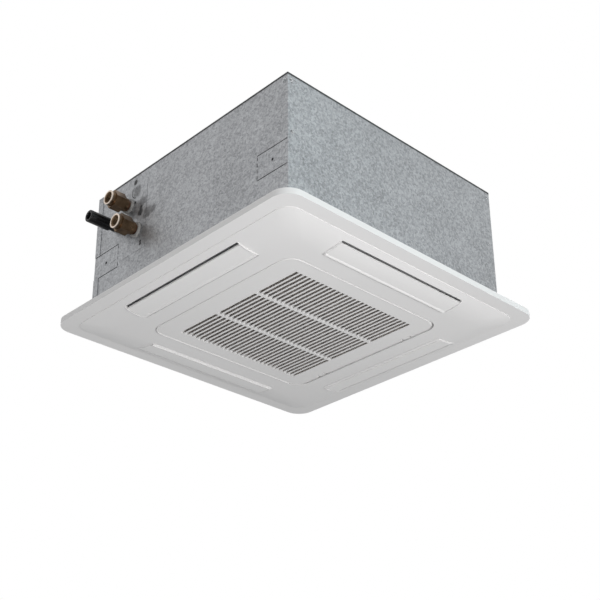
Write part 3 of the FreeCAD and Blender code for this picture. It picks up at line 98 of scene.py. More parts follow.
class NodeSheet:
    """A material's node tree with short ways to add and join nodes."""

    def __init__(self, name: str) -> None:
        """Start an empty sheet with a principled shader.

        Args:
            name: The material's name.
        """
        self.material = bpy.data.materials.new(name)
        self.material.use_nodes = True
        self.tree = self.material.node_tree
        self.shader = next(node for node in self.tree.nodes if node.type == "BSDF_PRINCIPLED")
        self.place = self.add("ShaderNodeTexCoord").outputs["Object"]

    def add(self, kind: str, **settings: Any) -> bpy.types.Node:
        """Add a node.

        Args:
            kind: The node's type name.
            settings: Properties of the node to set.

        Returns:
            The new node.
        """
        node = self.tree.nodes.new(kind)
        for name, value in settings.items():
            setattr(node, name, value)
        return node

    def feed(self, socket: bpy.types.NodeSocket, source: Any) -> None:
        """Join an output to an input, or set the input's value.

        Args:
            socket: The input.
            source: An output socket, or a plain value.
        """
        if isinstance(source, bpy.types.NodeSocket):
            self.tree.links.new(source, socket)
        else:
            socket.default_value = source

    def noise(self, grain: Grain) -> bpy.types.NodeSocket:
        """Soft noise over the surface.

        Args:
            grain: The noise's scale and octaves.

        Returns:
            The noise factor.
        """
        node = self.add("ShaderNodeTexNoise")
        self.feed(node.inputs["Vector"], self.place)
        self.feed(node.inputs["Scale"], grain.scale)
        self.feed(node.inputs["Detail"], grain.octaves)
        return node.outputs["Fac"]

    def cells(self, scale: float, output: str) -> bpy.types.NodeSocket:
        """A cell pattern over the surface.

        Args:
            scale: Cells per metre.
            output: The output to return.

        Returns:
            The chosen output.
        """
        node = self.add("ShaderNodeTexVoronoi")
        self.feed(node.inputs["Vector"], self.place)
        self.feed(node.inputs["Scale"], scale)
        return node.outputs[output]

    def bands(self, scale: float, axis: Axis, wobble: float = 0.0) -> bpy.types.NodeSocket:
        """Parallel bands across one axis.

        Args:
            scale: Bands in about 0.3 m, as the wave texture counts them.
            axis: The axis that they cross.
            wobble: Distortion of the bands.

        Returns:
            The band factor.
        """
        node = self.add("ShaderNodeTexWave", bands_direction=axis.value)
        self.feed(node.inputs["Vector"], self.place)
        self.feed(node.inputs["Scale"], scale)
        self.feed(node.inputs["Distortion"], wobble)
        return node.outputs["Fac"]

    def spread(self, factor: Any, low: float, high: float) -> bpy.types.NodeSocket:
        """Map a factor to a range of numbers.

        Args:
            factor: The factor, from 0 to 1.
            low: The number at 0.
            high: The number at 1.

        Returns:
            The mapped number.
        """
        node = self.add("ShaderNodeMapRange")
        self.feed(node.inputs["Value"], factor)
        self.feed(node.inputs["To Min"], low)
        self.feed(node.inputs["To Max"], high)
        return node.outputs["Result"]

    def blend(self, factor: Any, low: Any, high: Any) -> bpy.types.NodeSocket:
        """Blend two colours.

        Args:
            factor: The factor, from 0 to 1.
            low: The colour at 0.
            high: The colour at 1.

        Returns:
            The blended colour.
        """
        node = self.add("ShaderNodeMix", data_type="RGBA")
        sockets = [socket for socket in node.inputs if socket.type == "RGBA"]
        self.feed(node.inputs["Factor"], factor)
        for socket, value in zip(sockets, (low, high)):
            self.feed(socket, (*value, 1.0) if isinstance(value, tuple) else value)
        return next(socket for socket in node.outputs if socket.type == "RGBA")

    def combine(self, kind: str, first: Any, second: Any) -> bpy.types.NodeSocket:
        """Combine two numbers.

        Args:
            kind: The operation.
            first: The first number or output.
            second: The second number or output.

        Returns:
            The result.
        """
        node = self.add("ShaderNodeMath", operation=kind)
        self.feed(node.inputs[0], first)
        self.feed(node.inputs[1], second)
        return node.outputs[0]

    def bump(self, height: Any, depth: float, strength: float) -> None:
        """Raise the surface's shading by a height.

        Args:
            height: The height factor.
            depth: Depth in metres.
            strength: The bump's strength.
        """
        node = self.add("ShaderNodeBump")
        self.feed(node.inputs["Height"], height)
        self.feed(node.inputs["Distance"], depth)
        self.feed(node.inputs["Strength"], strength)
        self.feed(self.shader.inputs["Normal"], node.outputs["Normal"])

    def set(self, **values: Any) -> None:
        """Feed the shader's inputs, named with underscores for spaces."""
        for name, value in values.items():
            self.feed(self.shader.inputs[name.replace("_", " ")], value)


class Finish(Protocol):
    """Anything that can make a material."""

    name: str

    def material(self) -> bpy.types.Material:
        """Make the material."""


@dataclass(frozen=True)
class SpangledZinc:
    """Hot-dip zinc: crystals of differing brightness, cloudy patches and, where asked, dark round blotches.

    Each mark is its place along X, its height, its radius and its strength. How ragged its edge is, its core
    and its reach are shares of its radius.
    """

    name: str
    dark: Colour = (0.095, 0.098, 0.104)
    light: Colour = (0.60, 0.612, 0.632)
    crystals: float = 230.0
    small_factor: float = 2.2
    small_share: float = 0.45
    fleck_share: float = 0.47
    grain: Grain = Grain(560.0, 3.0)
    grain_share: float = 0.20
    clouds: Grain = Grain(11.0)
    cloud_share: float = 0.27
    metallic: float = 0.8
    smooth: float = 0.36
    rough: float = 0.52
    dents: Grain = Grain(24.0, 2.0)
    depth: float = 0.0006
    strength: float = 0.25
    marks: tuple[tuple[float, float, float, float], ...] = ()
    mark_face: float = -0.288
    mark_colour: Colour = (0.02, 0.02, 0.021)
    mark_grain: Grain = Grain(90.0, 3.0)
    mark_ragged: float = 0.45
    mark_core: float = 0.55
    mark_reach: float = 1.15

    def material(self) -> bpy.types.Material:
        """Make the material.

        Returns:
            The material.
        """
        sheet = NodeSheet(self.name)
        large = sheet.cells(self.crystals, "Color")
        small = sheet.cells(self.crystals * self.small_factor, "Color")
        split = sheet.add("ShaderNodeSeparateColor")
        sheet.feed(split.inputs["Color"], sheet.blend(self.small_share, large, small))
        flecks = sheet.combine("MULTIPLY", split.outputs["Red"], self.fleck_share)
        grain = sheet.combine("MULTIPLY", sheet.noise(self.grain), self.grain_share)
        clouds = sheet.combine("MULTIPLY", sheet.noise(self.clouds), self.cloud_share)
        crystal = sheet.combine("ADD", sheet.combine("ADD", flecks, grain), clouds)
        colour = sheet.blend(crystal, self.dark, self.light)
        for x, z, radius, strength in self.marks:
            mark = self.mark(sheet, x, z, radius)
            colour = sheet.blend(sheet.combine("MULTIPLY", mark, strength), colour, self.mark_colour)
        sheet.set(Base_Color=colour, Metallic=self.metallic,
                  Roughness=sheet.spread(split.outputs["Green"], self.smooth, self.rough))
        sheet.bump(sheet.noise(self.dents), self.depth, self.strength)
        return sheet.material

    def mark(self, sheet: NodeSheet, x: float, z: float, radius: float) -> bpy.types.NodeSocket:
        """Draw a soft round mark with an uneven edge.

        Args:
            sheet: The material's node sheet.
            x: The mark's place along X.
            z: Its height.
            radius: Its radius.

        Returns:
            The mark's factor, 1 in its middle and 0 outside it.
        """
        ragged = radius * self.mark_ragged
        wander = sheet.spread(sheet.noise(self.mark_grain), -ragged, ragged)
        away = sheet.add("ShaderNodeVectorMath", operation="DISTANCE")
        sheet.feed(away.inputs[0], sheet.place)
        sheet.feed(away.inputs[1], (x, self.mark_face, z))
        node = sheet.add("ShaderNodeMapRange", interpolation_type="SMOOTHSTEP")
        sheet.feed(node.inputs["Value"], sheet.combine("ADD", away.outputs["Value"], wander))
        sheet.feed(node.inputs["From Min"], radius * self.mark_core)
        sheet.feed(node.inputs["From Max"], radius * self.mark_reach)
        sheet.feed(node.inputs["To Min"], 1.0)
        sheet.feed(node.inputs["To Max"], 0.0)
        return node.outputs["Result"]


@dataclass(frozen=True)
class MouldedPlastic:
    """Fine satin moulding: even colour with slow drift, spark-eroded grain and faint dust."""

    name: str
    colour: Colour
    dust: Colour
    drift: Grain = Grain(7.0, 3.0)
    drift_share: float = 0.45
    specular: float = 0.42
    roughness: float = 0.42
    smoother: float = 0.05
    rougher: float = 0.07
    polish: Grain = Grain(60.0)
    grain: Grain = Grain(1400.0, 2.0)
    depth: float = 0.00004
    strength: float = 0.5

    def material(self) -> bpy.types.Material:
        """Make the material.

        Returns:
            The material.
        """
        sheet = NodeSheet(self.name)
        drift = sheet.spread(sheet.noise(self.drift), 0.0, self.drift_share)
        low, high = self.roughness - self.smoother, self.roughness + self.rougher
        sheet.set(Base_Color=sheet.blend(drift, self.colour, self.dust), Specular_IOR_Level=self.specular,
                  Roughness=sheet.spread(sheet.noise(self.polish), low, high))
        sheet.bump(sheet.noise(self.grain), self.depth, self.strength)
        return sheet.material


@dataclass(frozen=True)
class BeadFoam:
    """Moulded foam of expanded beads."""

    name: str
    colour: Colour
    shade: Colour
    beads: float = 260.0
    smooth: float = 0.7
    rough: float = 0.9
    depth: float = 0.0006
    strength: float = 0.6

    def material(self) -> bpy.types.Material:
        """Make the material.

        Returns:
            The material.
        """
        sheet = NodeSheet(self.name)
        bead = sheet.cells(self.beads, "Distance")
        sheet.set(Base_Color=sheet.blend(bead, self.colour, self.shade),
                  Roughness=sheet.spread(bead, self.smooth, self.rough))
        sheet.bump(sheet.combine("SUBTRACT", 1.0, bead), self.depth, self.strength)
        return sheet.material


@dataclass(frozen=True)
class MattRubber:
    """Dark elastic surface with bloom."""

    name: str
    colour: Colour
    bloom: Colour
    patches: Grain = Grain(45.0, 5.0)
    roughness: float = 0.62
    smoother: float = 0.08
    rougher: float = 0.12
    sheen: float = 0.5
    grain: Grain = Grain(700.0, 3.0)
    depth: float = 0.00015
    strength: float = 0.5

    def material(self) -> bpy.types.Material:
        """Make the material.

        Returns:
            The material.
        """
        sheet = NodeSheet(self.name)
        patch = sheet.noise(self.patches)
        low, high = self.roughness - self.smoother, self.roughness + self.rougher
        sheet.set(Base_Color=sheet.blend(patch, self.colour, self.bloom), Specular_IOR_Level=self.sheen,
                  Roughness=sheet.spread(patch, low, high))
        sheet.bump(sheet.noise(self.grain), self.depth, self.strength)
        return sheet.material


@dataclass(frozen=True)
class TurnedMetal:
    """Metal turned on a lathe: fine rings along one axis and tarnish in patches."""

    name: str
    bright: Colour
    tarnish: Colour
    axis: Axis = Axis.Y
    rings: float = 260.0
    wobble: float = 0.4
    patches: Grain = Grain(70.0, 5.0)
    contrast: float = 0.2
    smooth: float = 0.24
    rough: float = 0.42
    depth: float = 0.00004
    strength: float = 0.4

    def material(self) -> bpy.types.Material:
        """Make the material.

        Returns:
            The material.
        """
        sheet = NodeSheet(self.name)
        patch = sheet.spread(sheet.noise(self.patches), -self.contrast, 1.0 + self.contrast)
        sheet.set(Base_Color=sheet.blend(patch, self.bright, self.tarnish), Metallic=1.0,
                  Roughness=sheet.spread(patch, self.smooth, self.rough))
        sheet.bump(sheet.bands(self.rings, self.axis, self.wobble), self.depth, self.strength)
        return sheet.material


@dataclass(frozen=True)
class FinStack:
    """Edges of thin fins, seen as close vertical lines, with painted shade for the deep slots between them.
    """

    name: str
    bright: Colour = (0.62, 0.64, 0.66)
    # The gap colour is painted shade: the dark of the deep slots between the fins.
    gap: Colour = (0.06, 0.065, 0.07)
    lines: float = 180.0
    metallic: float = 0.8
    dirt: Grain = Grain(30.0)
    smooth: float = 0.35
    rough: float = 0.5
    depth: float = 0.0005
    strength: float = 0.6

    def material(self) -> bpy.types.Material:
        """Make the material.

        Returns:
            The material.
        """
        sheet = NodeSheet(self.name)
        lines = sheet.combine("MULTIPLY", sheet.bands(self.lines, Axis.X), sheet.bands(self.lines, Axis.Y))
        sheet.set(Base_Color=sheet.blend(lines, self.gap, self.bright), Metallic=self.metallic,
                  Roughness=sheet.spread(sheet.noise(self.dirt), self.smooth, self.rough))
        sheet.bump(lines, self.depth, self.strength)
        return sheet.material


@dataclass(frozen=True)
class WovenNet:
    """A fine net: threads crossing at right angles."""

    name: str
    thread: Colour
    gap: Colour
    threads: float = 260.0
    gap_rough: float = 0.85
    thread_rough: float = 0.6
    depth: float = 0.0004
    strength: float = 0.8

    def material(self) -> bpy.types.Material:
        """Make the material.

        Returns:
            The material.
        """
        sheet = NodeSheet(self.name)
        weave = sheet.combine("MAXIMUM", sheet.bands(self.threads, Axis.X), sheet.bands(self.threads, Axis.Y))
        sheet.set(Base_Color=sheet.blend(weave, self.gap, self.thread),
                  Roughness=sheet.spread(weave, self.gap_rough, self.thread_rough))
        sheet.bump(weave, self.depth, self.strength)
        return sheet.material


# Dark round blotches on the pipe side, round the pipes: each is its place along X, its height, its radius and
# its strength.
PIPE_SIDE_BLOTCHES = (
    (-0.154, 0.243, 0.0150, 0.55), (-0.161, 0.267, 0.0070, 0.95), (-0.134, 0.209, 0.0150, 0.55),
    (-0.115, 0.1776, 0.0150, 0.50), (-0.097, 0.1775, 0.0095, 0.55), (-0.139, 0.188, 0.0090, 0.80),
    (-0.1368, 0.1985, 0.0042, 0.95), (-0.159, 0.218, 0.0042, 0.95), (-0.1368, 0.1524, 0.0046, 0.95),
    (-0.164, 0.153, 0.0190, 0.45), (-0.172, 0.188, 0.0150, 0.55), (-0.206, 0.205, 0.0150, 0.45),
)
ZINC = SpangledZinc("spangled_zinc")
ZINC_BLOTCHED = SpangledZinc("blotched_zinc", marks=PIPE_SIDE_BLOTCHES)
# A very dark zinc for the strip at the lid's seam: painted shade, standing in for the seam's shadow gap.
ZINC_SEAM_SHADE = SpangledZinc("zinc_seam_painted_shade", (0.03, 0.031, 0.033), (0.10, 0.102, 0.105), smooth=0.5, rough=0.7)
ZINC_SMALL = SpangledZinc("zinc_bracket", (0.40, 0.41, 0.42), (0.52, 0.53, 0.54), crystals=150.0)
PANEL_WHITE = MouldedPlastic("panel_white", (0.755, 0.744, 0.740), (0.70, 0.69, 0.686))
VANE_WHITE = MouldedPlastic("vane_white", (0.775, 0.764, 0.758), (0.725, 0.714, 0.709), roughness=0.36)
GRILLE_WHITE = MouldedPlastic("grille_white", (0.755, 0.744, 0.738), (0.70, 0.69, 0.684))
BELL_GREY = MouldedPlastic("bell_grey", (0.62, 0.63, 0.64), (0.52, 0.53, 0.54))
FAN_BLACK = MouldedPlastic("fan_black", (0.035, 0.036, 0.038), (0.07, 0.07, 0.07), roughness=0.5)
PUMP_GREY = MouldedPlastic("pump_grey", (0.48, 0.49, 0.50), (0.40, 0.41, 0.42))
WHITE_FOAM = BeadFoam("white_bead_foam", (0.80, 0.81, 0.82), (0.66, 0.67, 0.68))
# The duct's foam is made near black as painted shade: it stands in for the dark seen through the vane slits.
DUCT_FOAM_SHADE = BeadFoam("duct_foam_painted_shade", (0.045, 0.046, 0.048), (0.03, 0.03, 0.032))
GREY_FOAM = BeadFoam("grey_closed_foam", (0.05, 0.05, 0.052), (0.09, 0.09, 0.092), 900.0, depth=0.0003)
DARK_SEAL = BeadFoam("dark_seal_foam", (0.02, 0.02, 0.021), (0.045, 0.045, 0.046), 700.0, depth=0.0003)
TORN_FOAM = BeadFoam("torn_foam", (0.46, 0.45, 0.43), (0.26, 0.25, 0.24), 420.0)
BLACK_RUBBER = MattRubber("black_rubber", (0.012, 0.012, 0.013), (0.03, 0.03, 0.032))
DRAIN_BLACK = MattRubber("drain_black", (0.003, 0.003, 0.003), (0.008, 0.008, 0.009),
                         roughness=0.30, sheen=0.22)
MOTOR_BLACK = MattRubber("motor_satin_black", (0.02, 0.02, 0.021), (0.05, 0.05, 0.052), roughness=0.4)
BRASS = TurnedMetal("turned_brass", (0.23, 0.152, 0.09), (0.06, 0.037, 0.021))
WORN_BRASS = TurnedMetal("worn_brass", (0.80, 0.70, 0.61), (0.52, 0.43, 0.36), smooth=0.3, rough=0.46)
COPPER = TurnedMetal("dull_copper", (0.24, 0.125, 0.075), (0.09, 0.05, 0.034), Axis.Z, smooth=0.3, rough=0.5)
PLATED = TurnedMetal("plated_steel", (0.52, 0.53, 0.54), (0.34, 0.35, 0.36), Axis.Z, smooth=0.25, rough=0.4)
FINS = FinStack("coil_fins")
NET = WovenNet("filter_net", (0.70, 0.65, 0.615), (0.42, 0.385, 0.36))
FILTER_FRAME = MouldedPlastic("filter_frame", (0.52, 0.485, 0.46), (0.58, 0.545, 0.52), roughness=0.55)

NODE_FINISHES: dict[str, Finish] = {
    "top_plate": ZINC, "rear_side_sheet": ZINC, "right_side_sheet": ZINC, "left_side_sheet": ZINC,
    "pipe_side_sheet": ZINC_BLOTCHED, "pipe_plate": ZINC_BLOTCHED,
    "hanger_bracket_": ZINC_SMALL, "corner_strap_": ZINC_SMALL, "coil_end_plate_": ZINC_SMALL,
    "motor_mount": ZINC_SMALL, "control_box": ZINC_SMALL,
    "coil_fin_pack": FINS, "coil_return_bends": COPPER, "return_header": COPPER, "supply_header": COPPER,
    "return_union": BRASS, "supply_union": BRASS, "air_vent": BRASS,
    "fan_shaft": PLATED, "hub_nut": PLATED, "panel_screws": PLATED, "grille_hinge_pins": PLATED,
    "fan_motor": MOTOR_BLACK, "motor_bushes": BLACK_RUBBER, "cable_grommet": BLACK_RUBBER,
    "panel_gasket": BLACK_RUBBER, "drain_stub": DRAIN_BLACK,
    "insulation_liner": GREY_FOAM, "pipe_seal": DARK_SEAL, "duct_walls": DUCT_FOAM_SHADE,
    "drain_pan": WHITE_FOAM, "panel_backing": WHITE_FOAM,
    "panel_frame": PANEL_WHITE, "catch_sockets": PANEL_WHITE, "vane_": VANE_WHITE,
    "intake_grille": GRILLE_WHITE, "filter_frame": FILTER_FRAME, "filter_net": NET,
    "impeller": FAN_BLACK, "inlet_ring": BELL_GREY,
    "drain_pump": PUMP_GREY, "pump_float": PUMP_GREY, "terminal_block": PUMP_GREY, "capacitor": PUMP_GREY,
}


class Palette:
    """Materials made once and shared."""

    def __init__(self) -> None:
        """Start with no materials."""
        self.made: dict[str, bpy.types.Material] = {}

    def of(self, finish: Finish) -> bpy.types.Material:
        """The material of a finish.

        Args:
            finish: The finish.

        Returns:
            Its one material.
        """
        if finish.name not in self.made:
            self.made[finish.name] = finish.material()
        return self.made[finish.name]

    def dress(self, piece: bpy.types.Object, finish: Finish) -> None:
        """Put a finish on a piece in place of what it has."""
        piece.data.materials.clear()
        piece.data.materials.append(self.of(finish))

    def dress_nodes(self) -> None:
        """Put a finish on every carried-over CAD node."""
        for name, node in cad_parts.items():
            key = max((key for key in NODE_FINISHES if name.startswith(key)), key=len)
            self.dress(node, NODE_FINISHES[key])
            log.info("dressed node %s with %s", name, NODE_FINISHES[key].name)


# Mesh building


def new_piece(name: str, mesh: bmesh.types.BMesh, body: Body, smooth: bool = True) -> bpy.types.Object:
    """Turn a built mesh into a piece that rides on a body.

    Args:
        name: The piece's name.
        mesh: The built mesh, which is freed.
        body: The body that it rides on.
        smooth: Whether its faces are shaded smooth.

    Returns:
        The piece.
    """
    bmesh.ops.recalc_face_normals(mesh, faces=mesh.faces[:])
    for face in mesh.faces:
        face.smooth = smooth
    data = bpy.data.meshes.new(name)
    mesh.to_mesh(data)
    mesh.free()
    if smooth:
        data.set_sharp_from_angle(angle=SHARP_ANGLE)
    piece = bpy.data.objects.new(name, data)
    bpy.context.scene.collection.objects.link(piece)
    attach(piece, body.value)
    log.info("built piece %s on %s", name, body.value)
    return piece


def skin(mesh: bmesh.types.BMesh, rings: list[Ring], capped: bool = True) -> None:
    """Join closed rings of points into a surface.

    Args:
        mesh: The mesh to add to.
        rings: The rings in order, all with the same number of points.
        capped: Whether the first and the last ring are filled.
    """
    count = len(rings[0])
    for low, high in zip(rings, rings[1:]):
        for index in range(count):
            after = (index + 1) % count
            mesh.faces.new((low[index], low[after], high[after], high[index]))
    if capped:
        mesh.faces.new(reversed(rings[0]))
        mesh.faces.new(rings[-1])


def lathe(mesh: bmesh.types.BMesh, profile: Iterable[tuple[float, float]], steps: int, matrix: Matrix,
          shape: Callable[[float], float] | None = None, capped: bool = True) -> None:
    """Turn a profile of radius and height about an axis.

    Args:
        mesh: The mesh to add to.
        profile: Pairs of radius and height.
        steps: Segments round the axis.
        matrix: Where the turned form goes.
        shape: A factor on the radius by angle.
        capped: Whether the profile's ends are closed.
    """
    rings: list[Ring] = []
    for radius, height in profile:
        ring = []
        for step in range(steps):
            angle = 2.0 * math.pi * step / steps
            reach = radius * (shape(angle) if shape else 1.0)
            place = Vector((reach * math.cos(angle), reach * math.sin(angle), height))
            ring.append(mesh.verts.new(matrix @ place))
        rings.append(ring)
    skin(mesh, rings, capped)


def slab(mesh: bmesh.types.BMesh, low: Point, high: Point) -> None:
    """Add a block between two corners.

    Args:
        mesh: The mesh to add to.
        low: The corner with the least coordinates.
        high: The corner with the greatest.
    """
    corners = Vector(low), Vector(high)
    size = corners[1] - corners[0]
    matrix = Matrix.Translation((corners[0] + corners[1]) / 2) @ Matrix.Diagonal((*size, 1.0))
    bmesh.ops.create_cube(mesh, size=1.0, matrix=matrix)


def standing(place: Point, facing: Facing) -> Matrix:
    """Where a piece built along +Z goes so that it stands on a face.

    Args:
        place: The point on the face.
        facing: The face's direction.

    Returns:
        The placing matrix.
    """
    return Matrix.Translation(Vector(place)) @ facing.turn()


def quarter_turn(quarters: int) -> Matrix:
    """The turn about the vertical axis that takes the front to another side."""
    return Matrix.Rotation(quarters * math.pi / 2, 4, "Z")


def hexagon(angle: float) -> float:
    """The radius of a hexagon against its corner circle."""
    return math.cos(math.pi / 6) / math.cos((angle % (math.pi / 3)) - math.pi / 6)


# Small parts on the casing


@dataclass
class SheetScrew:
    """A hexagon washer-head sheet screw with a recess in its head.

    The uprights are shares of a height; the tops and the recess's mouth and floor are shares of a radius.
    """

    washer_radius: float = 0.0048
    washer_height: float = 0.0008
    washer_upright: float = 0.6
    washer_top: float = 0.93
    head_radius: float = 0.0036
    head_height: float = 0.0026
    head_upright: float = 0.85
    head_top: float = 0.86
    recess_mouth: float = 0.45
    recess_floor: float = 0.30
    recess: float = 0.0009
    steps: int = 24

    def build(self, mesh: bmesh.types.BMesh, place: Point, facing: Facing) -> None:
        """Add one screw head to a mesh.

        Args:
            mesh: The mesh to add to.
            place: The point on the face under the head.
            facing: The face's direction.
        """
        matrix = standing(place, facing)
        wide, low = self.washer_radius, self.washer_height
        washer = [(wide, 0.0), (wide, low * self.washer_upright), (wide * self.washer_top, low)]
        lathe(mesh, washer, self.steps, matrix)
        radius, top = self.head_radius, self.head_height
        head = [(radius, low), (radius, top * self.head_upright), (radius * self.head_top, top),
                (radius * self.recess_mouth, top), (radius * self.recess_floor, top - self.recess)]
        lathe(mesh, head, self.steps, matrix, hexagon)


@dataclass
class Casing:
    """Screws in the casing's side sheets, and a dark strip of painted shade at the seam of its lid."""

    palette: Palette
    half: float = 0.2875
    top: float = 0.285
    screw: SheetScrew = field(default_factory=SheetScrew)
    right_places: tuple[tuple[float, float], ...] = (
        (-0.278, 0.271), (-0.277, 0.160), (0.280, 0.271), (0.273, 0.157))
    front_places: tuple[tuple[float, float], ...] = ((0.278, 0.271), (-0.262, 0.273), (0.278, 0.028))
    rear_lap: float = 0.001
    rear_lap_from: float = 0.27
    seam_height: float = 0.0036
    seam_proud: float = 0.0004

    def build(self) -> None:
        """Build the screws and the lid's seam."""
        mesh = bmesh.new()
        for y, z in self.right_places:
            self.screw.build(mesh, (self.half, y, z), Facing.RIGHT)
            self.screw.build(mesh, (-self.half, -y, z), Facing.LEFT)
        for x, z in self.front_places:
            lap = self.rear_lap if x > self.rear_lap_from else 0.0
            self.screw.build(mesh, (x, -self.half, z), Facing.FRONT)
            self.screw.build(mesh, (-x, self.half + lap, z), Facing.REAR)
        self.palette.dress(new_piece("casing_screws", mesh, Body.CASING), PLATED)
        self.seam()

    def seam(self) -> None:
        """Build a thin dark strip along the top of each side at the lid's seam: the seam is real, and the
        strip's dark colour is painted shade standing in for the shadow gap there.
        """
        mesh = bmesh.new()
        long, thick = 2 * self.half, 2 * self.seam_proud
        for facing in Facing:
            out = Vector(facing.value)
            along = Vector((-out.y, out.x, 0.0))
            middle = out * self.half + Vector((0.0, 0.0, self.top - self.seam_height / 2))
            size = [long * abs(step) + thick * abs(push) for step, push in zip(along, out)]
            scale = Matrix.Diagonal((size[0], size[1], self.seam_height, 1.0))
            bmesh.ops.create_cube(mesh, size=1.0, matrix=Matrix.Translation(middle) @ scale)
        self.palette.dress(new_piece("lid_seam", mesh, Body.CASING, smooth=False), ZINC_SEAM_SHADE)


@dataclass
class PipePlate:
    """The pipe plate, stepped clear of the knock-out beside it, and the sheet that shows in the step."""

    palette: Palette
    step_x: float = -0.2015
    step_z: float = 0.149
    front: float = -0.2878
    face: float = -0.2875
    proud: float = 0.0003
    hole_left: float = -0.242
    hole_low: float = 0.110
    fold_x: float = -0.2075
    slit_z: float = 0.143
    half_slit: float = 0.0009
    bridges: tuple[tuple[float, float], ...] = ((0.1145, 0.1195), (0.1275, 0.1325), (0.1405, 0.1421))

    def build(self) -> None:
        """Build the stepped plate in place of the plain one, and the sheet."""
        self.stepped()
        self.sheet()

    def stepped(self) -> None:
        """Copy the plate's form without the corner that lies over the knock-out."""
        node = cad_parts["pipe_plate"]
        mesh = bmesh.new()
        mesh.from_mesh(node.data)
        mesh.transform(node.matrix_world)
        cuts = (((self.step_x, 0.0, 0.0), (1.0, 0.0, 0.0)), ((0.0, 0.0, self.step_z), (0.0, 0.0, 1.0)))
        for place, normal in cuts:
            parts = mesh.verts[:] + mesh.edges[:] + mesh.faces[:]
            bmesh.ops.bisect_plane(mesh, geom=parts, plane_co=place, plane_no=normal)
        for vert in mesh.verts:
            vert.co.y = max(vert.co.y, self.front)
        middles = [(face, face.calc_center_median()) for face in mesh.faces]
        corner = [face for face, middle in middles if middle.x < self.step_x and middle.z < self.step_z]
        bmesh.ops.delete(mesh, geom=corner, context="FACES")
        middle_y = (self.front + self.face) / 2
        for edge in [edge for edge in mesh.edges if edge.is_boundary]:
            first, second = edge.verts
            if first.co.y < middle_y and second.co.y < middle_y:
                backs = [mesh.verts.new((vert.co.x, self.face, vert.co.z)) for vert in (second, first)]
                mesh.faces.new((first, second, *backs))
        piece = new_piece("stepped_pipe_plate", mesh, Body.CASING, smooth=False)
        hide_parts("pipe_plate")
        self.palette.dress(piece, ZINC_BLOTCHED)

    def sheet(self) -> None:
        """Build the sheet round the knock-out's inner corner, open along its slit and its fold line."""
        left, right = self.fold_x - self.half_slit, self.fold_x + self.half_slit
        under, over = self.slit_z - self.half_slit, self.slit_z + self.half_slit
        panes = [(self.hole_left, left, self.hole_low, under),
                 (right, self.step_x, self.hole_low, self.step_z),
                 (self.hole_left, right, over, self.step_z)]
        panes += [(left, right, low, high) for low, high in self.bridges]
        mesh = bmesh.new()
        for x_low, x_high, z_low, z_high in panes:
            slab(mesh, (x_low, self.face - self.proud, z_low), (x_high, self.face, z_high))
        self.palette.dress(new_piece("knockout_sheet", mesh, Body.CASING, smooth=False), ZINC_BLOTCHED)


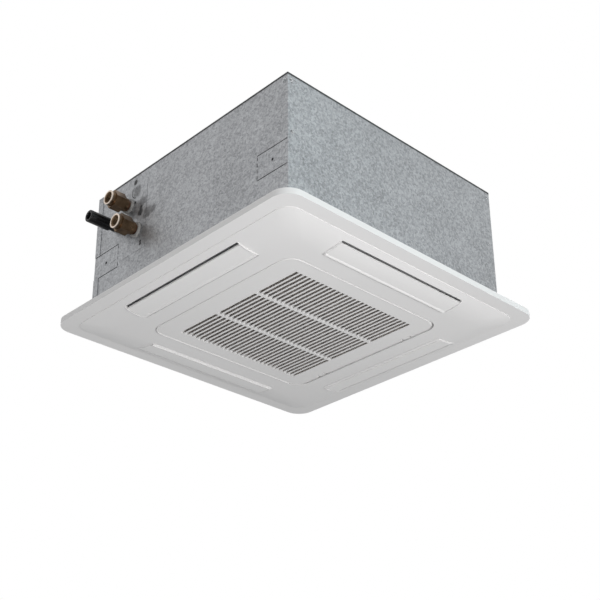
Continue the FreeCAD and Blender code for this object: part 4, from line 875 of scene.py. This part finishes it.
@dataclass
class PipeEnds:
    """Threads and worn rims in the two unions, and foam pressed round their pipes.

    The thread's crest and end are shares of its pitch; the foam's upright and top are shares of its size.
    """

    palette: Palette
    return_place: tuple[float, float] = (-0.178, 0.217)
    supply_place: tuple[float, float] = (-0.150, 0.150)
    mouth: float = -0.340
    plate: float = -0.288
    bore: float = 0.01206
    thread_depth: float = 0.0009
    thread_start: float = 0.0006
    thread_crest: float = 0.36
    thread_end: float = 0.72
    pitch: float = 0.0018
    turns: int = 8
    turn_steps: int = 32
    rim_radius: float = 0.01515
    rim_proud: float = 0.0005
    rim_sunk: float = 0.002
    rim_steps: int = 48
    foam_radius: float = 0.0165
    foam_height: float = 0.0045
    foam_upright: float = 0.5
    foam_top: float = 0.9
    foam_hole: float = 0.0112
    foam_ragged: float = 0.22
    foam_waves: float = 2.2
    foam_shuffle: float = 50.0
    foam_steps: int = 40

    def build(self) -> None:
        """Build the threads, the rims and the foam."""
        for name, (x, z) in (("return", self.return_place), ("supply", self.supply_place)):
            self.thread(f"{name}_thread", x, z)
            self.rim(f"{name}_rim", x, z)
            self.foam(f"{name}_foam", x, z)

    def thread(self, name: str, x: float, z: float) -> None:
        """Build a helical thread inside a union.

        Args:
            name: The piece's name.
            x: The bore's place along X.
            z: The bore's height.
        """
        mesh = bmesh.new()
        profile = ((0.0, 0.0), (self.thread_depth, self.pitch * self.thread_crest),
                   (0.0, self.pitch * self.thread_end))
        rails: list[Ring] = []
        for index in range(self.turns * self.turn_steps + 1):
            angle = 2.0 * math.pi * index / self.turn_steps
            depth = self.mouth + self.thread_start + self.pitch * index / self.turn_steps
            rail = []
            for inset, shift in profile:
                reach = self.bore - inset
                place = (x + reach * math.cos(angle), depth + shift, z + reach * math.sin(angle))
                rail.append(mesh.verts.new(place))
            rails.append(rail)
        for low, high in zip(rails, rails[1:]):
            for edge in range(len(profile) - 1):
                mesh.faces.new((low[edge], low[edge + 1], high[edge + 1], high[edge]))
        self.palette.dress(new_piece(name, mesh, Body.CASING), BRASS)

    def rim(self, name: str, x: float, z: float) -> None:
        """Build the bright worn edge round a union's mouth.

        Args:
            name: The piece's name.
            x: The bore's place along X.
            z: The bore's height.
        """
        mesh = bmesh.new()
        inner, outer, sunk = self.bore, self.rim_radius, -self.rim_sunk
        middle = (inner + outer) / 2
        profile = [(outer, sunk), (outer, 0.0), (middle, self.rim_proud), (inner, 0.0), (inner, sunk)]
        lathe(mesh, profile, self.rim_steps, standing((x, self.mouth, z), Facing.FRONT), capped=False)
        self.palette.dress(new_piece(name, mesh, Body.CASING), WORN_BRASS)

    def foam(self, name: str, x: float, z: float) -> None:
        """Build the torn foam collar where a pipe leaves the plate.

        Args:
            name: The piece's name.
            x: The pipe's place along X.
            z: The pipe's height.
        """
        mesh = bmesh.new()

        def ragged(angle: float) -> float:
            """An uneven edge, different at each pipe."""
            across, up = math.cos(angle) * self.foam_waves, math.sin(angle) * self.foam_waves
            return 1.0 + self.foam_ragged * noise.noise(Vector((across, up, x * self.foam_shuffle)))

        radius, height = self.foam_radius, self.foam_height
        profile = [(radius, 0.0), (radius, height * self.foam_upright), (radius * self.foam_top, height),
                   (self.foam_hole, height)]
        lathe(mesh, profile, self.foam_steps, standing((x, self.plate, z), Facing.FRONT), ragged)
        self.palette.dress(new_piece(name, mesh, Body.CASING), TORN_FOAM)


@dataclass
class DrainSleeve:
    """The thick rubber sleeve over the drain's end.

    The bore's length is a share of the sleeve's, and the rounding is a share of the edge.
    """

    palette: Palette
    x: float = -0.224
    z: float = 0.190
    mouth: float = -0.3525
    radius: float = 0.0128
    bore: float = 0.0072
    length: float = 0.050
    bore_length: float = 0.4
    edge: float = 0.0016
    edge_round: float = 0.3
    steps: int = 40

    def build(self) -> None:
        """Build the sleeve."""
        mesh = bmesh.new()
        outer, bore, edge, cut = self.radius, self.bore, self.edge, self.edge * self.edge_round
        profile = [(outer, -self.length), (outer, -edge), (outer - cut, -cut), (outer - edge, 0.0),
                   (bore + edge, 0.0), (bore + cut, -cut), (bore, -edge),
                   (bore, -self.length * self.bore_length)]
        place = standing((self.x, self.mouth, self.z), Facing.FRONT)
        lathe(mesh, profile, self.steps, place, capped=False)
        self.palette.dress(new_piece("drain_sleeve", mesh, Body.CASING), DRAIN_BLACK)


# Small parts on the panel


@dataclass
class VaneRidges:
    """The raised rounded edge along each vane's hinge side, from one angle in degrees to another."""

    palette: Palette
    pivot: float = 0.247
    pivot_z: float = -0.021
    half: float = 0.1615
    radius: float = 0.0064
    inner: float = 0.0036
    first: float = -86.0
    last: float = -28.0
    steps: int = 8

    def build(self) -> None:
        """Build one ridge on each vane."""
        bodies = (Body.VANE_FRONT, Body.VANE_RIGHT, Body.VANE_REAR, Body.VANE_LEFT)
        for index, body in enumerate(bodies):
            mesh = bmesh.new()
            self.strip(mesh, quarter_turn(index))
            self.palette.dress(new_piece(f"{body.value}_ridge", mesh, body), VANE_WHITE)

    def strip(self, mesh: bmesh.types.BMesh, turn: Matrix) -> None:
        """Add one ridge, drawn on the front vane and turned to its side.

        Args:
            mesh: The mesh to add to.
            turn: The turn about the vertical axis.
        """
        angles = [math.radians(self.first + (self.last - self.first) * step / self.steps)
                  for step in range(self.steps + 1)]
        outline = [(self.radius, angle) for angle in angles]
        outline += [(self.inner, angle) for angle in reversed(angles)]
        ends: list[Ring] = []
        for x in (-self.half, self.half):
            points = [(x, -self.pivot - reach * math.cos(angle), self.pivot_z + reach * math.sin(angle))
                      for reach, angle in outline]
            ends.append([mesh.verts.new(turn @ Vector(point)) for point in points])
        skin(mesh, ends)


@dataclass
class VaneCheeks:
    """The low raised cheeks at both ends of each vane opening, moulded on the panel's shoulder.

    A ramp of 5 brings a cheek to its full height within a fifth of its length from either end.
    """

    palette: Palette
    start: float = 0.2455
    stop: float = 0.2935
    plateau: float = 0.244
    plateau_z: float = -0.024
    run: float = 0.066
    drop: float = 0.0108
    inner: float = 0.1635
    width: float = 0.0022
    height: float = 0.0027
    edge: float = 0.0006
    sunk: float = 0.0008
    ramp: float = 5.0
    steps: int = 16

    def build(self) -> None:
        """Build the cheeks of all four openings as one piece."""
        mesh = bmesh.new()
        for quarter in range(4):
            for side in (-1.0, 1.0):
                self.cheek(mesh, side, quarter_turn(quarter))
        self.palette.dress(new_piece("vane_cheeks", mesh, Body.CASING), PANEL_WHITE)

    def cheek(self, mesh: bmesh.types.BMesh, side: float, turn: Matrix) -> None:
        """Add one cheek, drawn beside the front vane and turned to its side.

        Args:
            mesh: The mesh to add to.
            side: The end of the opening, -1 or 1.
            turn: The turn about the vertical axis.
        """
        rings: list[Ring] = []
        for step in range(self.steps + 1):
            share = step / self.steps
            reach = self.start + (self.stop - self.start) * share
            ground = self.plateau_z + self.drop * ((reach - self.plateau) / self.run) ** 2
            rise = min(1.0, self.ramp * share, self.ramp * (1.0 - share))
            tall = self.edge + (self.height - self.edge) * rise
            outline = ((0.0, -self.sunk), (0.0, tall - self.edge), (self.edge, tall),
                       (self.width - self.edge, tall), (self.width, tall - self.edge),
                       (self.width, -self.sunk))
            rings.append([mesh.verts.new(turn @ Vector((side * (self.inner + across), -reach, ground - down)))
                          for across, down in outline])
        skin(mesh, rings)


@dataclass
class GrilleBorder:
    """The low rounded border along the grille's three free edges."""

    palette: Palette
    half: float = 0.2015
    corner: float = 0.028
    level: float = -0.024
    middle: float = 0.0004
    half_width: float = 0.0018
    proud: float = 0.0012
    rise: float = 0.0029
    root: float = 0.0012
    corner_steps: int = 10
    bead_steps: int = 8

    def build(self) -> None:
        """Build the border as one strip on the grille."""
        profile = [(self.middle + self.half_width, -self.root)]
        for step in range(self.bead_steps + 1):
            angle = math.pi * step / self.bead_steps
            profile.append((self.middle + self.half_width * math.cos(angle), self.proud * math.sin(angle)))
        profile.append((self.middle - self.half_width, -self.rise))
        mesh = bmesh.new()
        lines = [[mesh.verts.new(point) for point in self.line(inset, down)] for inset, down in profile]
        for here, there in zip(lines, lines[1:] + lines[:1]):
            for index in range(len(here) - 1):
                mesh.faces.new((here[index], here[index + 1], there[index + 1], there[index]))
        for end in (0, -1):
            mesh.faces.new([line[end] for line in lines])
        self.palette.dress(new_piece("grille_border", mesh, Body.GRILLE), GRILLE_WHITE)

    def line(self, inset: float, down: float) -> list[Vector]:
        """Lay out a line along the left, front and right edges.

        Args:
            inset: How far it lies inside the grille's edge.
            down: How far it lies below the grille's face.

        Returns:
            Its points in order.
        """
        reach, radius, level = self.half - self.corner, self.corner - inset, self.level - down
        points = [Vector((-reach - radius, reach, level))]
        for quarter in (2, 3):
            turn = quarter_turn(quarter)
            for step in range(self.corner_steps + 1):
                angle = math.pi / 2 * step / self.corner_steps
                place = (reach + radius * math.cos(angle), reach + radius * math.sin(angle), level)
                points.append(turn @ Vector(place))
        points.append(Vector((reach + radius, reach, level)))
        return points


# Stage


@dataclass(frozen=True)
class Lamp:
    """A soft square lamp: its name, its place, its side in metres, its power in watts and its colour."""

    name: str
    place: Point
    size: float
    power: float
    colour: Colour = WHITE

    def build(self, aim: Point) -> None:
        """Hang the lamp.

        Args:
            aim: The point that it looks at.
        """
        data = bpy.data.lights.new(self.name, "AREA")
        data.size = self.size
        data.energy = self.power
        data.color = self.colour
        lamp = bpy.data.objects.new(self.name, data)
        lamp.location = self.place
        lamp.rotation_euler = (Vector(aim) - Vector(self.place)).to_track_quat("-Z", "Y").to_euler()
        bpy.context.scene.collection.objects.link(lamp)


def backdrop_shader(tree: bpy.types.NodeTree, plain: bpy.types.NodeSocket,
                    white: bpy.types.NodeSocket) -> bpy.types.NodeSocket:
    """Show white to camera, mirror and glass rays, and the plain shader to all others.

    Args:
        tree: The node tree.
        plain: The shader for light.
        white: The shader for sight.

    Returns:
        The mixed shader.
    """
    path = tree.nodes.new("ShaderNodeLightPath")
    seen = path.outputs["Is Camera Ray"]
    for name in ("Is Glossy Ray", "Is Transmission Ray"):
        either = tree.nodes.new("ShaderNodeMath")
        either.operation = "MAXIMUM"
        tree.links.new(seen, either.inputs[0])
        tree.links.new(path.outputs[name], either.inputs[1])
        seen = either.outputs[0]
    mix = tree.nodes.new("ShaderNodeMixShader")
    for socket, source in zip(mix.inputs, (seen, plain, white)):
        tree.links.new(source, socket)
    return mix.outputs[0]


@dataclass
class Stage:
    """Floor, light and camera."""

    floor_level: float = -3.6
    floor_size: float = 400.0
    floor_colour: Colour = (0.86, 0.86, 0.86)
    floor_patches: Colour = (0.88, 0.88, 0.88)
    floor_grain: Grain = Grain(3.0)
    floor_roughness: float = 0.9
    sky_colour: Colour = (0.97, 0.985, 1.0)
    ambient: float = 0.28
    lamps: tuple[Lamp, ...] = (
        Lamp("key", (2.05, 0.1, -1.05), 1.2, 30.0),
        Lamp("near", (0.75, -0.85, -1.10), 0.6, 5.8),
        Lamp("fill", (-0.4, -2.4, -0.4), 1.6, 9.0),
        Lamp("top", (0.8, -0.8, 2.2), 2.2, 13.0),
        Lamp("side", (2.6, 0.2, 0.9), 1.2, 11.0, (0.66, 1.0, 1.05)),
    )
    lamp_aim: Point = (0.0, 0.0, 0.1)
    camera_place: Point = (1.547, -1.480, -1.109)
    camera_back: Point = (0.6498, -0.6277, -0.4285)
    camera_roll: float = -0.51
    sensor: float = 36.0
    lens: float = 72.58
    shift_up: float = 0.1

    def build(self) -> None:
        """Build the whole stage."""
        self.floor()
        self.world()
        for lamp in self.lamps:
            lamp.build(self.lamp_aim)
        self.camera()

    def floor(self) -> None:
        """Build a pale floor well below the unit."""
        mesh = bmesh.new()
        bmesh.ops.create_grid(mesh, x_segments=1, y_segments=1, size=self.floor_size / 2)
        data = bpy.data.meshes.new("floor")
        mesh.to_mesh(data)
        mesh.free()
        floor = bpy.data.objects.new("floor", data)
        floor.location = (0.0, 0.0, self.floor_level)
        bpy.context.scene.collection.objects.link(floor)
        sheet = NodeSheet("floor_pale")
        tone = sheet.blend(sheet.noise(self.floor_grain), self.floor_colour, self.floor_patches)
        sheet.set(Base_Color=tone, Roughness=self.floor_roughness)
        glow = sheet.add("ShaderNodeEmission")
        sheet.feed(glow.inputs["Color"], tone)
        mixed = backdrop_shader(sheet.tree, sheet.shader.outputs[0], glow.outputs[0])
        sheet.tree.links.new(mixed, sheet.tree.nodes["Material Output"].inputs["Surface"])
        data.materials.append(sheet.material)

    def world(self) -> None:
        """Light the scene evenly and show white behind it."""
        world = bpy.data.worlds.new("studio")
        world.use_nodes = True
        tree = world.node_tree
        plain = tree.nodes["Background"]
        white = tree.nodes.new("ShaderNodeBackground")
        for node, colour, strength in ((plain, self.sky_colour, self.ambient), (white, WHITE, 1.0)):
            node.inputs["Color"].default_value = (*colour, 1.0)
            node.inputs["Strength"].default_value = strength
        mixed = backdrop_shader(tree, plain.outputs[0], white.outputs[0])
        tree.links.new(mixed, tree.nodes["World Output"].inputs["Surface"])
        bpy.context.scene.world = world

    def camera(self) -> None:
        """Place the camera below the unit, looking up at its near corner."""
        data = bpy.data.cameras.new("camera")
        data.sensor_width = self.sensor
        data.lens = self.lens
        data.shift_y = self.shift_up
        camera = bpy.data.objects.new("camera", data)
        camera.location = self.camera_place
        turn = (-Vector(self.camera_back)).to_track_quat("-Z", "Y").to_matrix()
        camera.rotation_euler = (turn @ Matrix.Rotation(math.radians(self.camera_roll), 3, "Z")).to_euler()
        bpy.context.scene.collection.objects.link(camera)
        bpy.context.scene.camera = camera


def main() -> None:
    """Dress the CAD model, add the small parts and set the stage."""
    logging.basicConfig(level=logging.INFO, format="%(name)s: %(message)s")
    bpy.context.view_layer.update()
    bpy.context.scene.view_settings.view_transform = "Standard"
    palette = Palette()
    palette.dress_nodes()
    Casing(palette).build()
    PipePlate(palette).build()
    PipeEnds(palette).build()
    DrainSleeve(palette).build()
    VaneRidges(palette).build()
    VaneCheeks(palette).build()
    GrilleBorder(palette).build()
    Stage().build()


if __name__ == "__main__":
    main()
